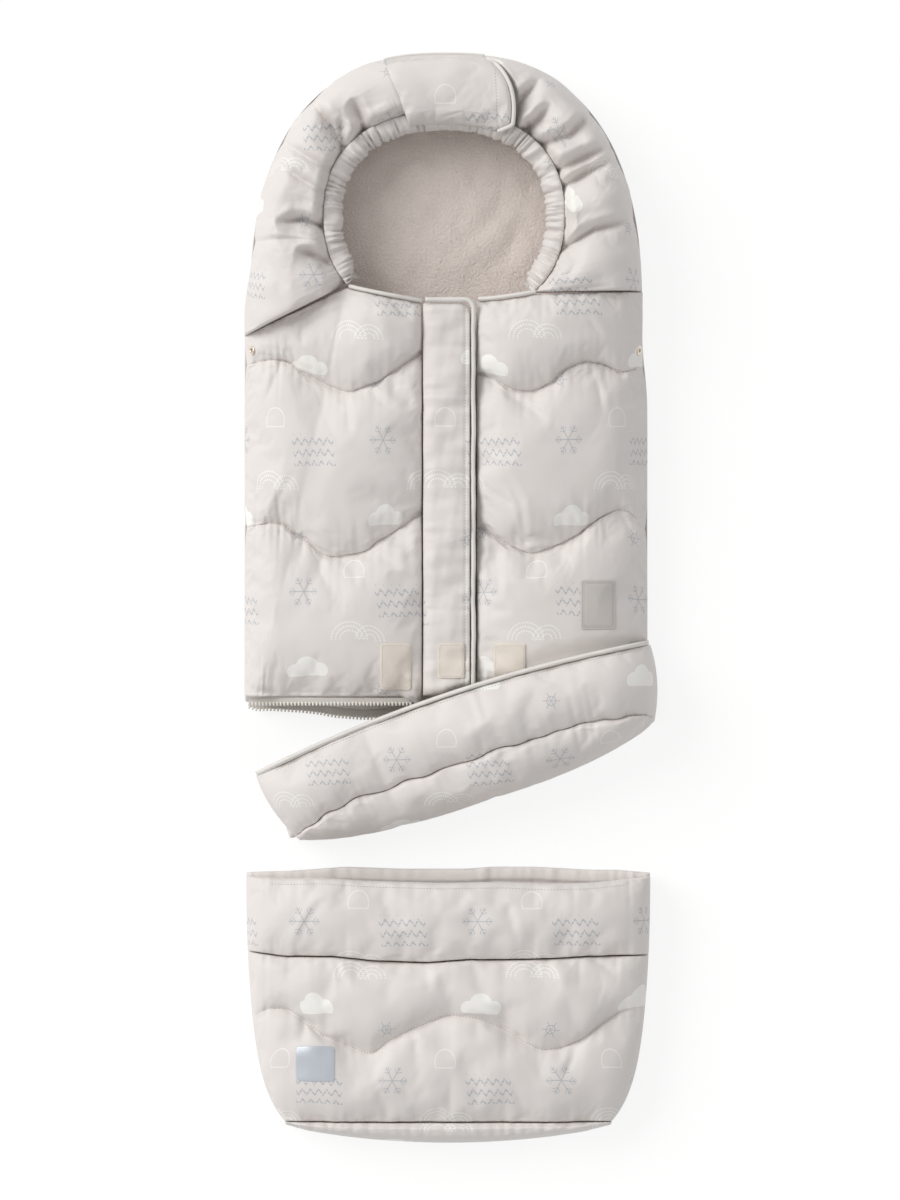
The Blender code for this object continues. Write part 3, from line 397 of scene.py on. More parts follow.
def pad(
    name, x, y, top, low, body, replaced, sewn=(), uv=None, cap=9 * MM, roof=None, slack=0.2, tucks=0.0
):
    """A quilted piece. Its border and its sewn rows stay down while the rest is filled.

    cap limits how far it swells, and tucks says how far each point of the top sinks after that."""
    top, bottom = points(x, y, top), points(x, y, low)
    uv = arc_uv(top, top.shape[1] // 2, len(top) // 2) if uv is None else uv
    obj = link(slab(name, top, bottom, uv), MATERIALS["shell"], body, replaced)
    held = np.zeros(top.shape[:2], bool)
    held[[0, -1]] = True
    held[:, [0, -1]] = True
    held[list(sewn)] = True
    PADS[name] = {
        "held": held, "cap": cap, "roof": roof, "slack": slack,
        "tucks": np.broadcast_to(tucks, top.shape[:2]), "least": bottom[..., 2] + 2.6 * MM,
    }
    return obj


def smoothed(obj):
    obj.modifiers.new("smooth", "SUBSURF").render_levels = 1


def wadded(name, x, y, top, low, body, replaced, uv=None):
    """A padded piece that keeps its shape."""
    made = slab(name, points(x, y, top), points(x, y, low), uv)
    obj = link(made, MATERIALS["shell"], body, replaced)
    smoothed(obj)


def grid_places(obj):
    values = np.zeros(len(obj.data.vertices), np.int32)
    obj.data.attributes["grid"].data.foreach_get("value", values)
    return values


def coords(mesh):
    flat = np.empty(len(mesh.vertices) * 3)
    mesh.vertices.foreach_get("co", flat)
    return flat.reshape(-1, 3)


# How the fabric behaves while it is filled
CLOTH = {
    "quality": 5, "mass": 0.2, "tension_stiffness": 25, "compression_stiffness": 25, "shear_stiffness": 8,
    "bending_stiffness": 0.02, "vertex_group_mass": "sewn", "use_pressure": True,
}


def fill_pads(pressure, spare, frames):
    """Blows the pads up against their seams as their wadding does, all of them together."""
    scene = bpy.context.scene
    before = {}
    for name, pad_facts in PADS.items():
        obj = bpy.data.objects[name]
        co = coords(obj.data)
        before[name] = co
        places = grid_places(obj)
        keep = (places == 0) | pad_facts["held"].ravel()[np.maximum(places, 1) - 1]
        group = obj.vertex_groups.new(name="sewn")
        group.add([int(i) for i in np.flatnonzero(keep)], 1.0, "REPLACE")
        cloth = obj.modifiers.new("fill", "CLOTH")
        for key, value in CLOTH.items():
            setattr(cloth.settings, key, value)
        cloth.settings.shrink_min = -spare * pad_facts["slack"]
        cloth.settings.uniform_pressure_force = pressure
        cloth.settings.effector_weights.gravity = 0
        cloth.collision_settings.use_collision = False
        cloth.collision_settings.use_self_collision = False
        cloth.point_cache.frame_start = 1
        cloth.point_cache.frame_end = frames
    for step in range(1, frames + 1):
        scene.frame_set(step)
    graph = bpy.context.evaluated_depsgraph_get()
    for name, pad_facts in PADS.items():
        obj = bpy.data.objects[name]
        co = before[name]
        moved = coords(obj.evaluated_get(graph).to_mesh()) - co
        far = np.linalg.norm(moved, axis=1)
        limit = np.minimum(1, pad_facts["cap"] / np.maximum(far, 1e-9))
        co = co + moved * limit[:, None]
        places = grid_places(obj)
        at = np.maximum(places, 1) - 1
        sunk = np.maximum(co[:, 2] - pad_facts["tucks"].ravel()[at], pad_facts["least"].ravel()[at])
        co[:, 2] = np.where(places > 0, sunk, co[:, 2])
        if pad_facts["roof"]:
            roof = pad_facts["roof"](co[:, 0], co[:, 1])
            co[:, 2] = np.where(places > 0, np.minimum(co[:, 2], roof), co[:, 2])
        obj.modifiers.clear()
        obj.data.vertices.foreach_set("co", co.ravel())
        obj.data.update()
        obj.vertex_groups.clear()
        smoothed(obj)
    scene.frame_set(1)


# Materials

class Field:
    """A value in a node tree that can be used in ordinary sums."""

    def __init__(self, tree, socket):
        self.tree, self.socket = tree, socket

    def math(self, operation, *others):
        node = self.tree.nodes.new("ShaderNodeMath")
        node.operation = operation
        self.tree.links.new(self.socket, node.inputs[0])
        for index, other in enumerate(others, 1):
            if isinstance(other, Field):
                self.tree.links.new(other.socket, node.inputs[index])
            else:
                node.inputs[index].default_value = other
        return Field(self.tree, node.outputs[0])

    def __add__(self, other):
        return self.math("ADD", other)

    def __sub__(self, other):
        return self.math("SUBTRACT", other)

    def __mul__(self, other):
        return self.math("MULTIPLY", other)

    def __truediv__(self, other):
        return self.math("DIVIDE", other)

    def __or__(self, other):
        return self.math("MAXIMUM", other)

    def below(self, other):
        return self.math("LESS_THAN", other)

    def above(self, other):
        return self.math("GREATER_THAN", other)

    def size(self):
        return self.math("ABSOLUTE")

    def wrap(self, step):
        """Distance to the nearest whole step."""
        return ((self / step).math("FRACT") - 0.5).size() * (-step) + step / 2


def new_group(name, inputs, outputs):
    group = bpy.data.node_groups.new(name, "ShaderNodeTree")
    for label, kind, value in inputs:
        socket = group.interface.new_socket(name=label, in_out="INPUT", socket_type=kind)
        if value is not None:
            socket.default_value = value
    for label, kind in outputs:
        group.interface.new_socket(name=label, in_out="OUTPUT", socket_type=kind)
    return group, group.nodes.new("NodeGroupInput"), group.nodes.new("NodeGroupOutput")


PRINT_REPEAT = (186, 172)


def winter_print_group():
    """Loose repeat of stars, clouds, dashed hills and zigzags, as two masks. It is drawn in millimetres."""
    group, source, sink = new_group(
        "Winter Print",
        [("Vector", "NodeSocketVector", None)],
        [("Pale", "NodeSocketFloat"), ("Blue", "NodeSocketFloat")],
    )
    split = group.nodes.new("ShaderNodeSeparateXYZ")
    group.links.new(source.outputs["Vector"], split.inputs[0])
    u = Field(group, split.outputs[0]) * (1 / MM)
    v = Field(group, split.outputs[1]) * (1 / MM)
    wide, high = PRINT_REPEAT
    row = (v / high).math("FLOOR")
    u = u + row.math("MODULO", 2.0) * (wide * 0.5)
    x = (u / wide).math("FRACT") * wide
    y = (v / high).math("FRACT") * high

    def local(cx, cy):
        return x - cx, y - cy

    def radius(px, py):
        return (px * px + py * py).math("SQRT")

    def inside_box(px, py, half_x, half_y):
        return px.size().below(half_x) * py.size().below(half_y)

    # Star with six arms and small branches
    px, py = local(34, 128)
    r = radius(px, py)
    turn = py.math("ARCTAN2", px).wrap(math.radians(60))
    off, out = r * turn.math("SINE"), r * turn.math("COSINE")
    arms = off.below(0.5) * r.below(17)
    twigs = (out - off - 9).size().below(0.6) * off.below(4.2)
    tips = (out - off - 13).size().below(0.6) * off.below(2.6)
    blue = arms | twigs | tips

    # Small star
    px, py = local(118, 20)
    r = radius(px, py)
    turn = py.math("ARCTAN2", px).wrap(math.radians(60))
    off = r * turn.math("SINE")
    ring = (r - 5).size().below(0.5)
    blue = blue | off.below(0.45) * r.below(10) | ring

    # Zigzag rows
    px, py = local(140, 118)
    shear = px + py * 0.12
    saw = shear.wrap(9.0) * 1.5
    rows = (py + saw + 60).wrap(12.0).below(1.5)
    broken = (shear * 0.043 + py * 0.21).math("FRACT").above(0.18)
    blue = blue | rows * broken * inside_box(shear, py, 25, 17)

    # Cloud
    px, py = local(38, 42)
    lobes = radius(px + 13, py).below(9) | radius(px, py - 5).below(12.5)
    lobes = lobes | radius(px - 14, py - 1).below(8.5) | inside_box(px, py + 4, 16, 4)
    pale = lobes * py.above(-6)

    # Dashed hills, one behind the other
    px, py = local(96, 76)
    for shift, size in ((-12, 19), (10, 15)):
        r = radius(px - shift, py)
        around = py.math("ARCTAN2", px - shift)
        for ring_size in (size, size - 4.5, size - 9):
            dash = (around * (ring_size * 0.36)).math("FRACT").below(0.62)
            pale = pale | (r - ring_size).size().below(0.7) * dash * py.above(0.0)

    # Outlined bell shape
    px, py = local(92, 148)
    r = radius(px, py * 0.8)
    bell = (r - 11).size().below(0.55) * py.above(-6)
    base = (py + 6).size().below(0.6) * px.size().below(11)
    pale = pale | (bell | base) * 0.7

    group.links.new(pale.socket, sink.inputs["Pale"])
    group.links.new(blue.socket, sink.inputs["Blue"])
    return group


def noise_field(tree, vector, scale, detail, roughness=0.5):
    node = tree.nodes.new("ShaderNodeTexNoise")
    node.inputs["Scale"].default_value = scale
    node.inputs["Detail"].default_value = detail
    node.inputs["Roughness"].default_value = roughness
    tree.links.new(vector, node.inputs["Vector"])
    return Field(tree, node.outputs["Fac"])


def cloth_group():
    """Fine woven polyester: thread relief, small creases and a soft change of tone."""
    group, source, sink = new_group(
        "Woven Cloth",
        [("Vector", "NodeSocketVector", None), ("Creases", "NodeSocketFloat", 1.0)],
        [("Height", "NodeSocketFloat"), ("Tone", "NodeSocketFloat")],
    )
    vector = source.outputs["Vector"]
    split = group.nodes.new("ShaderNodeSeparateXYZ")
    group.links.new(vector, split.inputs[0])
    threads = math.tau / (0.6 * MM)
    warp = (Field(group, split.outputs[0]) * threads).math("SINE")
    weft = (Field(group, split.outputs[1]) * threads).math("SINE")
    weave = warp * weft * 0.05
    ridged = (noise_field(group, vector, 30, 1.0, 0.4) - 0.5).size() * -2 + 1
    fine = noise_field(group, vector, 90, 1.0)
    folds = (ridged * 0.7 + fine * 0.3) * Field(group, source.outputs["Creases"])
    height = folds + weave
    tone = noise_field(group, vector, 9, 3.0) * 0.6 + noise_field(group, vector, 900, 2.0) * 0.4
    group.links.new(height.socket, sink.inputs["Height"])
    group.links.new(tone.socket, sink.inputs["Tone"])
    return group


def nap_group():
    """Short fluffy pile: fleece, or hook-and-loop tape at a smaller grain."""
    group, source, sink = new_group(
        "Fleece Nap",
        [("Vector", "NodeSocketVector", None), ("Grain", "NodeSocketFloat", 1.0)],
        [("Height", "NodeSocketFloat"), ("Tone", "NodeSocketFloat")],
    )
    scaled = group.nodes.new("ShaderNodeVectorMath")
    scaled.operation = "SCALE"
    group.links.new(source.outputs["Vector"], scaled.inputs[0])
    group.links.new(source.outputs["Grain"], scaled.inputs["Scale"])
    vector = scaled.outputs[0]
    tufts = noise_field(group, vector, 520, 4.0, 0.7)
    waves = noise_field(group, vector, 130, 2.0)
    height = tufts * 0.75 + waves * 0.35
    tone = tufts * 0.6 + noise_field(group, vector, 22, 2.0) * 0.4
    group.links.new(height.socket, sink.inputs["Height"])
    group.links.new(tone.socket, sink.inputs["Tone"])
    return group


GROUPS = {}
MATERIALS = {}


def start_material(name, roughness, metallic=0.0, sheen=0.0):
    made = bpy.data.materials.new(name)
    made.use_nodes = True
    shader = made.node_tree.nodes["Principled BSDF"]
    shader.inputs["Roughness"].default_value = roughness
    shader.inputs["Metallic"].default_value = metallic
    shader.inputs["Sheen Weight"].default_value = sheen
    shader.inputs["Sheen Roughness"].default_value = 0.5
    return made, made.node_tree, shader


def place_group(tree, name, vector, **values):
    node = tree.nodes.new("ShaderNodeGroup")
    node.node_tree = GROUPS[name]
    tree.links.new(vector, node.inputs["Vector"])
    for label, value in values.items():
        node.inputs[label].default_value = value
    return node


def toned(tree, tone, colour, spread):
    """The colour, a little darker and lighter as the tone goes from 0.3 to 0.7."""
    node = tree.nodes.new("ShaderNodeValToRGB")
    dark, light = node.color_ramp.elements
    dark.position, light.position = 0.3, 0.7
    dark.color = (*[c * (1 - spread) for c in colour], 1)
    light.color = (*[min(1, c * (1 + spread)) for c in colour], 1)
    tree.links.new(tone, node.inputs[0])
    return node.outputs["Color"]


def mixed(tree, factor, first, second, strength):
    scale = tree.nodes.new("ShaderNodeMath")
    scale.operation = "MULTIPLY"
    scale.inputs[1].default_value = strength
    tree.links.new(factor, scale.inputs[0])
    node = tree.nodes.new("ShaderNodeMix")
    node.data_type = "RGBA"
    tree.links.new(scale.outputs[0], node.inputs["Factor"])
    tree.links.new(first, node.inputs["A"])
    node.inputs["B"].default_value = (*second, 1)
    return node.outputs["Result"]


def add_bump(tree, shader, height, distance, strength=1.0):
    bump = tree.nodes.new("ShaderNodeBump")
    bump.inputs["Distance"].default_value = distance
    bump.inputs["Strength"].default_value = strength
    tree.links.new(height, bump.inputs["Height"])
    tree.links.new(bump.outputs["Normal"], shader.inputs["Normal"])


def cloth_coordinates(tree):
    node = tree.nodes.new("ShaderNodeUVMap")
    node.uv_map = "cloth"
    return node.outputs["UV"]


def object_coordinates(tree):
    return tree.nodes.new("ShaderNodeTexCoord").outputs["Object"]


def shell_material(name, colours, colour, printed=True, creases=1.0):
    made, tree, shader = start_material(name, 0.6, sheen=0.06)
    vector = cloth_coordinates(tree)
    cloth = place_group(tree, "cloth", vector, Creases=creases)
    base = toned(tree, cloth.outputs["Tone"], colour, 0.025)
    if printed:
        motif = place_group(tree, "print", vector)
        base = mixed(tree, motif.outputs["Blue"], base, tuple(colours.print_blue), 0.75)
        base = mixed(tree, motif.outputs["Pale"], base, tuple(colours.print_pale), 0.85)
    tree.links.new(base, shader.inputs["Base Color"])
    add_bump(tree, shader, cloth.outputs["Height"], 0.0009, 0.25)
    return made


def nap_material(name, colour, grain, depth, spread, by_object=False):
    made, tree, shader = start_material(name, 0.95, sheen=0.3)
    vector = object_coordinates(tree) if by_object else cloth_coordinates(tree)
    nap = place_group(tree, "nap", vector, Grain=grain)
    tree.links.new(toned(tree, nap.outputs["Tone"], colour, spread), shader.inputs["Base Color"])
    add_bump(tree, shader, nap.outputs["Height"], depth)
    return made


def plain_material(name, colour, roughness, scale, depth, metallic=0.0):
    """Moulded, cast, coated or ribbed material with a fine grain in place."""
    made, tree, shader = start_material(name, roughness, metallic)
    vector = object_coordinates(tree)
    grain = noise_field(tree, vector, scale, 3.0, 0.6)
    tree.links.new(toned(tree, grain.socket, colour, 0.04), shader.inputs["Base Color"])
    worn = grain * 0.16 + (roughness - 0.08)
    tree.links.new(worn.socket, shader.inputs["Roughness"])
    add_bump(tree, shader, grain.socket, depth)
    return made


def make_materials(colours):
    GROUPS["print"] = winter_print_group()
    GROUPS["cloth"] = cloth_group()
    GROUPS["nap"] = nap_group()
    MATERIALS["shell"] = shell_material("Printed shell fabric", colours, tuple(colours.shell))
    MATERIALS["binding"] = shell_material(
        "Folded binding", colours, tuple(colours.binding), printed=False, creases=0.5
    )
    loop = tuple(colours.loop_tape), 2.2, 0.9 * MM, 0.07
    MATERIALS["fleece"] = nap_material("Taupe fleece", tuple(colours.fleece), 0.7, 3 * MM, 0.13)
    MATERIALS["loop"] = nap_material("Loop tape", *loop)
    MATERIALS["loop_node"] = nap_material("Loop tape in place", *loop, by_object=True)
    for key, name, colour, roughness, scale, depth, metallic in (
        ("tape", "Zip tape", (0.62, 0.59, 0.555), 0.8, 1400, 0.2, 0),
        ("teeth", "Moulded zip teeth", colours.teeth, 0.42, 500, 0.1, 0),
        ("thread", "Sewing thread", (0.50, 0.46, 0.43), 0.7, 2500, 0.1, 0),
        ("pale_thread", "Pale thread", (0.66, 0.62, 0.57), 0.7, 2500, 0.1, 0),
        ("elastic", "Covered elastic", (0.70, 0.68, 0.65), 0.8, 900, 0.3, 0),
        ("metal", "Champagne metal", colours.metal, 0.28, 350, 0.04, 1),
        ("label", "Matt imitation leather", colours.label, 0.6, 1500, 0.2, 0),
        ("reflective", "Reflective film", colours.reflective, 0.35, 2600, 0.1, 0.35),
    ):
        MATERIALS[key] = plain_material(name, tuple(colour), roughness, scale, depth * MM, metallic)


# Seams and folds, marked on the drawing

def seam_line(marks):
    """A sewn wavy line as a function of x, with its corners eased."""
    xs, ys = zip(*at_px(marks))
    dense = np.arange(xs[0] - 0.03, xs[-1] + 0.03, 0.001)
    window = np.hanning(19)
    padded = np.pad(np.interp(dense, xs, ys), 9, mode="edge")
    smooth = np.convolve(padded, window / window.sum(), "valid")
    return lambda x: np.interp(x, dense, smooth)


UPPER_SEAM_LEFT = seam_line([
    (247, 366), (272, 361), (289, 363), (300, 372), (312, 378), (339, 391), (350, 394),
    (378, 384), (402, 368), (424, 353),
])
LOWER_SEAM_LEFT = seam_line([
    (248, 528), (270, 523), (285, 525), (296, 535), (308, 541), (323, 556), (335, 557),
    (366, 552), (378, 542), (396, 531), (417, 517), (426, 514),
])
UPPER_SEAM_RIGHT = seam_line([
    (478, 375), (494, 381), (509, 390), (525, 393), (535, 392), (553, 383), (567, 371),
    (587, 363.5), (605, 367), (623, 374.5), (642, 369),
])
LOWER_SEAM_RIGHT = seam_line([
    (479, 528), (488, 533), (508, 545), (528, 554), (536, 553), (556, 545), (576, 535),
    (596, 521), (617, 510), (629, 512), (639, 521), (646, 530),
])
EXTENSION_SEAM = seam_line([
    (250, 1023), (261, 1011), (272, 1007), (288, 1005), (304, 1016), (323, 1032), (336, 1037),
    (371, 1052), (390, 1037), (414, 1025), (449, 1012), (481, 1016), (502, 1025), (524, 1039),
    (540, 1047), (561, 1045), (583, 1035), (602, 1019), (620, 1008), (634, 1009), (642, 1018),
])
CUFF_SEAM = seam_line([
    (248, 949), (285, 954), (334, 954), (374, 958), (427, 960), (468, 957), (508, 957),
    (548, 956), (588, 954), (644, 953),
])
LIP_LINE = seam_line([
    (247, 875), (285, 877), (320, 876), (370, 879), (440, 881), (500, 880), (545, 882), (591, 881),
    (620, 878), (650, 875),
])
RIM_LINE = seam_line([
    (247, 872), (256, 871), (294, 870), (347, 866), (401, 868), (468, 868), (489, 866), (535, 866),
    (588, 869), (615, 869), (647, 872),
])
BACK_ROW = seam_line([
    (250, 706), (255, 710), (265, 709), (286, 710), (303, 711), (320, 713), (336, 716), (361, 718),
    (380, 718), (420, 712), (644, 711.7),
])
HOOD_FOLDS = [at_px(marks) for marks in (
    [(314, 105), (330, 128), (343, 151)],
    [(277.5, 142), (305, 160), (329, 174)],
    [(282, 169), (303, 184), (323, 196)],
    [(277, 226), (305, 223), (322, 229)],
    [(327, 300), (344.5, 288)],
    [(541, 82), (520, 105), (510, 129)],
    [(594, 111), (570, 139), (535, 151)],
    [(608, 150), (567, 169), (556, 175)],
    [(614, 163), (589, 175), (563, 190)],
    [(635, 222), (592, 233.5), (565, 250)],
    [(524, 140), (529, 129)],
    [(297, 254), (314, 258), (328, 265)],
    [(550, 108), (538, 124), (519, 140)],
    [(340, 122), (343, 146)],
    [(352, 104), (362, 124), (366, 138)],
)]
LEFT_PULLS = [at_px(marks) for marks in (
    [(292, 702), (272, 691), (249, 689)], [(420, 348), (388, 326), (372, 318)],
    [(300, 330), (322, 318), (352, 310)], [(300, 470), (282, 498), (279, 520)],
    [(330, 590), (322, 572), (321, 560)], [(404, 470), (414, 500), (418, 514)],
    [(268, 404), (276, 384), (281, 366)], [(352, 440), (349, 412), (346, 396)],
)]
RIGHT_PULLS = [at_px(marks) for marks in (
    [(560, 430), (520, 404), (484, 380)], [(500, 470), (520, 500), (526, 550)],
    [(600, 420), (596, 392), (590, 368)], [(640, 400), (622, 384), (606, 370)],
    [(560, 500), (574, 520), (580, 532)], [(600, 340), (586, 322), (566, 312)],
    [(640, 560), (630, 536), (622, 514)], [(500, 600), (498, 566), (492, 540)],
)]
EXTENSION_PULLS = [at_px(marks) for marks in (
    [(350, 985), (340, 970), (336, 957)], [(430, 990), (428, 974), (426, 962)],
    [(560, 990), (552, 972), (548, 958)], [(300, 1040), (306, 1026), (304, 1018)],
    [(560, 1075), (572, 1056), (574, 1042)], [(480, 1000), (502, 1008), (524, 1036)],
    [(420, 1050), (414, 1036), (412, 1028)], [(640, 985), (612, 970), (590, 956)],
    [(300, 945), (306, 925), (322, 900)], [(520, 945), (512, 925), (508, 905)],
)]
FLAP_WRINKLES = [at_px(marks) for marks in (
    [(408, 108), (404, 124), (402, 136)], [(424, 118), (425, 136)], [(436, 110), (434, 136)],
    [(452, 122), (452, 136)], [(464, 114), (466, 136)], [(482, 120), (486, 136)],
    [(496, 110), (498, 136)], [(388, 100), (392, 118), (400, 130)],
)]
FLEECE_FOLDS = [at_px(marks) for marks in (
    [(392, 190), (404, 232), (430, 262)], [(505, 180), (498, 214), (470, 240)],
    [(420, 150), (440, 168), (470, 166)], [(372, 214), (388, 250), (414, 280)],
    [(470, 280), (500, 262), (520, 230)],
)]
HOOD_SEAMS = [at_px([(254, 244), (290, 243), (322, 245)]), at_px([(612.5, 290.5), (590, 291), (563, 294)])]


def chambers(lines, counts):
    """Rows of a quilted piece between its seams. Each line gives y for every column."""
    ys, share, sewn = [], [], [0]
    for k, (low, high) in enumerate(zip(lines, lines[1:])):
        q = unit_spacing(counts[k] + 1)[(0 if k == 0 else 1):]
        ys.append(low + (high - low) * q[:, None])
        share.append(q + k)
        sewn.append(sewn[-1] + counts[k])
    return np.concatenate(ys), np.concatenate(share), sewn


def seam_drop(share, depths):
    """How far each row lies under the full height; depths holds one row of depths per seam."""
    nearest = np.rint(share).astype(int)
    away = np.abs(share - nearest) * 2
    full = dome(1 - away, 2.2, 0.55)
    return np.array(depths)[nearest] * (1 - full)[:, None]


def pucker(along, away, seed, depth, wave):
    """Little waves that run out from an edge and die away: how far the cloth rises."""
    ridge = 1 - 2 * np.abs(np.sin(along / wave * math.pi + smooth_noise(along, 0, 45 * MM, seed) * 2.2))
    uneven = 0.6 + 0.5 * smooth_noise(along, 0, 60 * MM, seed + 1)
    return depth * ridge * np.exp(-away / (14 * MM)) * uneven


def gathers(along, away, seed, depth, wave, reach=16 * MM):
    """Sharp little gathers of uneven length that run out from a seam: how far the cloth sinks."""
    turn = along / wave * math.pi + smooth_noise(along, 0, 70 * MM, seed) * 1.6
    valley = 1 - np.abs(np.sin(turn)) ** 0.55
    number = np.rint(turn / math.pi)
    uneven = 0.55 + 0.75 * np.abs(smooth_noise(number * 23 * MM, 0, 60 * MM, seed + 1))
    return depth * valley * uneven.clip(0, 1.5) * np.exp(-(np.maximum(away, 0) / (reach * uneven)) ** 1.2)


def sharp_folds(x, y, lines, depth, width):
    """Knife-sharp folds with a raised lip on their upper side, which fade towards their start."""
    sink = np.zeros(np.broadcast(x, y).shape)
    for line in lines:
        d, share = line_distance(x, y, line)
        (x0, y0), (x1, y1) = line[0], line[-1]
        side = np.sign((x - x0) * (y1 - y0) - (y - y0) * (x1 - x0)) * (1 if x1 > x0 else -1)
        fade = np.minimum(1, share / 0.3) * (1 - 0.35 * share)
        fold = np.exp(-d / width) - 0.5 * np.exp(-((d - 2.2 * width) / (1.3 * width)) ** 2) * (side < 0)
        sink = sink + depth * fade * fold
    return sink


def seam_distance(y, lines):
    return np.min([np.abs(y - line) for line in lines], axis=0)


def edge_spacing(count):
    """Numbers from 0 to 1, closer together towards 0."""
    c = np.linspace(0, 1, count)
    return lerp(c ** 1.8, c, 0.35)


def even_spacing(count):
    """Numbers from -1 to 1, closer together towards both ends."""
    c = np.linspace(0, 1, count)
    return 0.45 * (c * 2 - 1) + 0.55 * np.sin((c - 0.5) * math.pi)


def unit_spacing(count):
    return even_spacing(count) * 0.5 + 0.5


def pulled_in(x, y, seams):
    """The front's side, which its two cross seams pull in a little."""
    return x * (1 - 0.013 * np.exp(-seam_distance(y, seams) / (18 * MM)) * (x / HALF_WIDTH) ** 6)


def left_front_grid(rows=(60, 56, 28), cols=78):
    x = lerp(-HALF_WIDTH, PLACKET_SEAM_X - GAP, edge_spacing(cols))
    hem = lerp(-7 * MM, 6.3 * MM, ramp(-30 * MM - x, 16 * MM))
    lines = [left_end_y(x) + hem, LOWER_SEAM_LEFT(x), UPPER_SEAM_LEFT(x), left_neck_y(x)]
    y, share, sewn = chambers(lines, rows)
    return pulled_in(x, y, lines[1:3]), y, lines, share, sewn


def right_front_grid(rows=(60, 56, 28), cols=76):
    flat = lerp(HALF_WIDTH, RIGHT_FRONT_X - 1.2 * MM, edge_spacing(cols))[::-1]
    lines = [
        np.full_like(flat, BAG_END_Y), LOWER_SEAM_RIGHT(flat), UPPER_SEAM_RIGHT(flat), right_neck_y(flat)
    ]
    y, share, sewn = chambers(lines, rows)
    rise = ((y - HOOD_SPRING_Y) / (HOOD_TOP_Y - HOOD_SPRING_Y)).clip(0)
    outer = drawn_in(HALF_WIDTH * dome(rise, HOOD_EXPONENT, 1 / HOOD_EXPONENT), y)
    x = lerp(RIGHT_FRONT_X, outer, (flat - RIGHT_FRONT_X) / (HALF_WIDTH - RIGHT_FRONT_X))
    return pulled_in(x, y, lines[1:3]), y, lines, share, sewn


def quilted_front(
    name, grid, profile, from_border, from_middle, middle_depth, body, replaced, sizes, seed, pulls, roof=None
):
    x, y, lines, share, sewn = grid
    high, low = profile(x, y), front_inner(x, y) + LINING + GAP
    border = np.minimum(1, from_border(x) / (45 * MM))
    seam = sizes.seam_depth * border[0]
    end = (high[0] - low[0] - 4.5 * MM) * border[0]
    neck = sizes.seam_depth * 1.1 * ramp(from_border(x[0]), 120 * MM) ** 0.8
    middle = middle_depth * (1 - from_middle(x) / (13 * MM)).clip(0) ** 2.4
    inner = seam_distance(y, lines[1:3])
    groove = 2.2 * MM * np.exp(-inner / (2.2 * MM)) * border
    top = high - seam_drop(share, [end, seam, seam, neck]) - middle - groove
    top = top + smooth_noise(x, y, 70 * MM, seed + 5) * 1.2 * MM * border
    deep = sizes.gather_depth
    tucks = gathers(x, inner, seed, deep, 9.5 * MM)
    tucks = tucks + gathers(x, seam_distance(y, lines[::3]), seed + 2, 0.7 * deep, 13 * MM, 12 * MM)
    tucks = tucks + gathers(y, from_middle(x), seed + 4, 0.6 * deep, 12 * MM, 13 * MM)
    tucks = tucks + 2.0 * MM * np.exp(-inner / (1.3 * MM)) + sharp_folds(x, y, pulls, 2.6 * MM, 3.2 * MM)
    tucks = tucks * ramp(from_border(x), 16 * MM)
    top = np.maximum(top, low + 2.2 * MM)
    pad(name, x, y, top, low, body, replaced, sewn=sewn, roof=roof, slack=0.55, tucks=tucks)


def fleece_sheet(name, x, y, top, low, body, node, uv=None):
    """A fleece lining. Its flat size is measured along its own threads."""
    top, bottom = points(x, y, top), points(x, y, low)
    uv = arc_uv(top, top.shape[1] // 2, len(top) // 2) if uv is None else uv
    obj = link(slab(name, top, bottom, uv), MATERIALS["fleece"], body, node)
    flat_area(top)


def flat_area(top):
    p, q = top[1:, 1:] - top[:-1, :-1], top[1:, :-1] - top[:-1, 1:]
    return float(np.linalg.norm(np.cross(p, q), axis=2).sum() / 2)


def ribbon(path, half_width, half_height, cols=7, across=None, power=2.0):
    """Top and bottom grids of a rounded band that follows a path of points."""
    path = np.asarray(path, float)
    if across is None:
        along = np.gradient(path, axis=0)
        across = np.cross(along, (0, 0, 1.0))
    across = across / np.linalg.norm(across, axis=-1, keepdims=True)
    s = np.sin(np.linspace(-1, 1, cols) * math.pi / 2)
    rise = dome(np.abs(s), power, 1 / power) * 0.85 + 0.15
    middle = path[:, None] + across[:, None] * (s * half_width)[None, :, None]
    up = points(0, 0, rise * half_height)
    return middle + up, middle - up


def band(name, path, half_width, half_height, material, body, slot, replaced=(), cols=7, **shape):
    grids = ribbon(path, half_width, half_height, cols, **shape)
    uv = arc_uv(grids[0], cols // 2, 0)
    link(slab(name, *grids, uv), MATERIALS[material], body, replaced)


def resample(path, step):
    path = np.asarray(path, float)
    done = np.concatenate([[0], np.cumsum(np.linalg.norm(np.diff(path, axis=0), axis=1))])
    count = max(2, int(round(done[-1] / step)) + 1)
    at = np.linspace(0, done[-1], count)
    return np.stack([np.interp(at, done, path[:, k]) for k in range(path.shape[1])], axis=1)


def repeated(name, template, matrices):
    """One mesh that holds a small shape many times."""
    bm = bmesh.new()
    shape = bpy.data.meshes.new("shape")
    template.to_mesh(shape)
    template.free()
    for matrix in matrices:
        start = len(bm.verts)
        bm.from_mesh(shape)
        bm.verts.ensure_lookup_table()
        bmesh.ops.transform(bm, matrix=matrix, verts=bm.verts[start:])
    bpy.data.meshes.remove(shape)
    return mesh_object(name, bm)


def frame_matrix(place, along, up):
    along = Vector(along).normalized()
    side = Vector(up).cross(along).normalized()
    up = along.cross(side)
    matrix = Matrix((along, side, up)).transposed().to_4x4()
    matrix.translation = Vector(place)
    return matrix


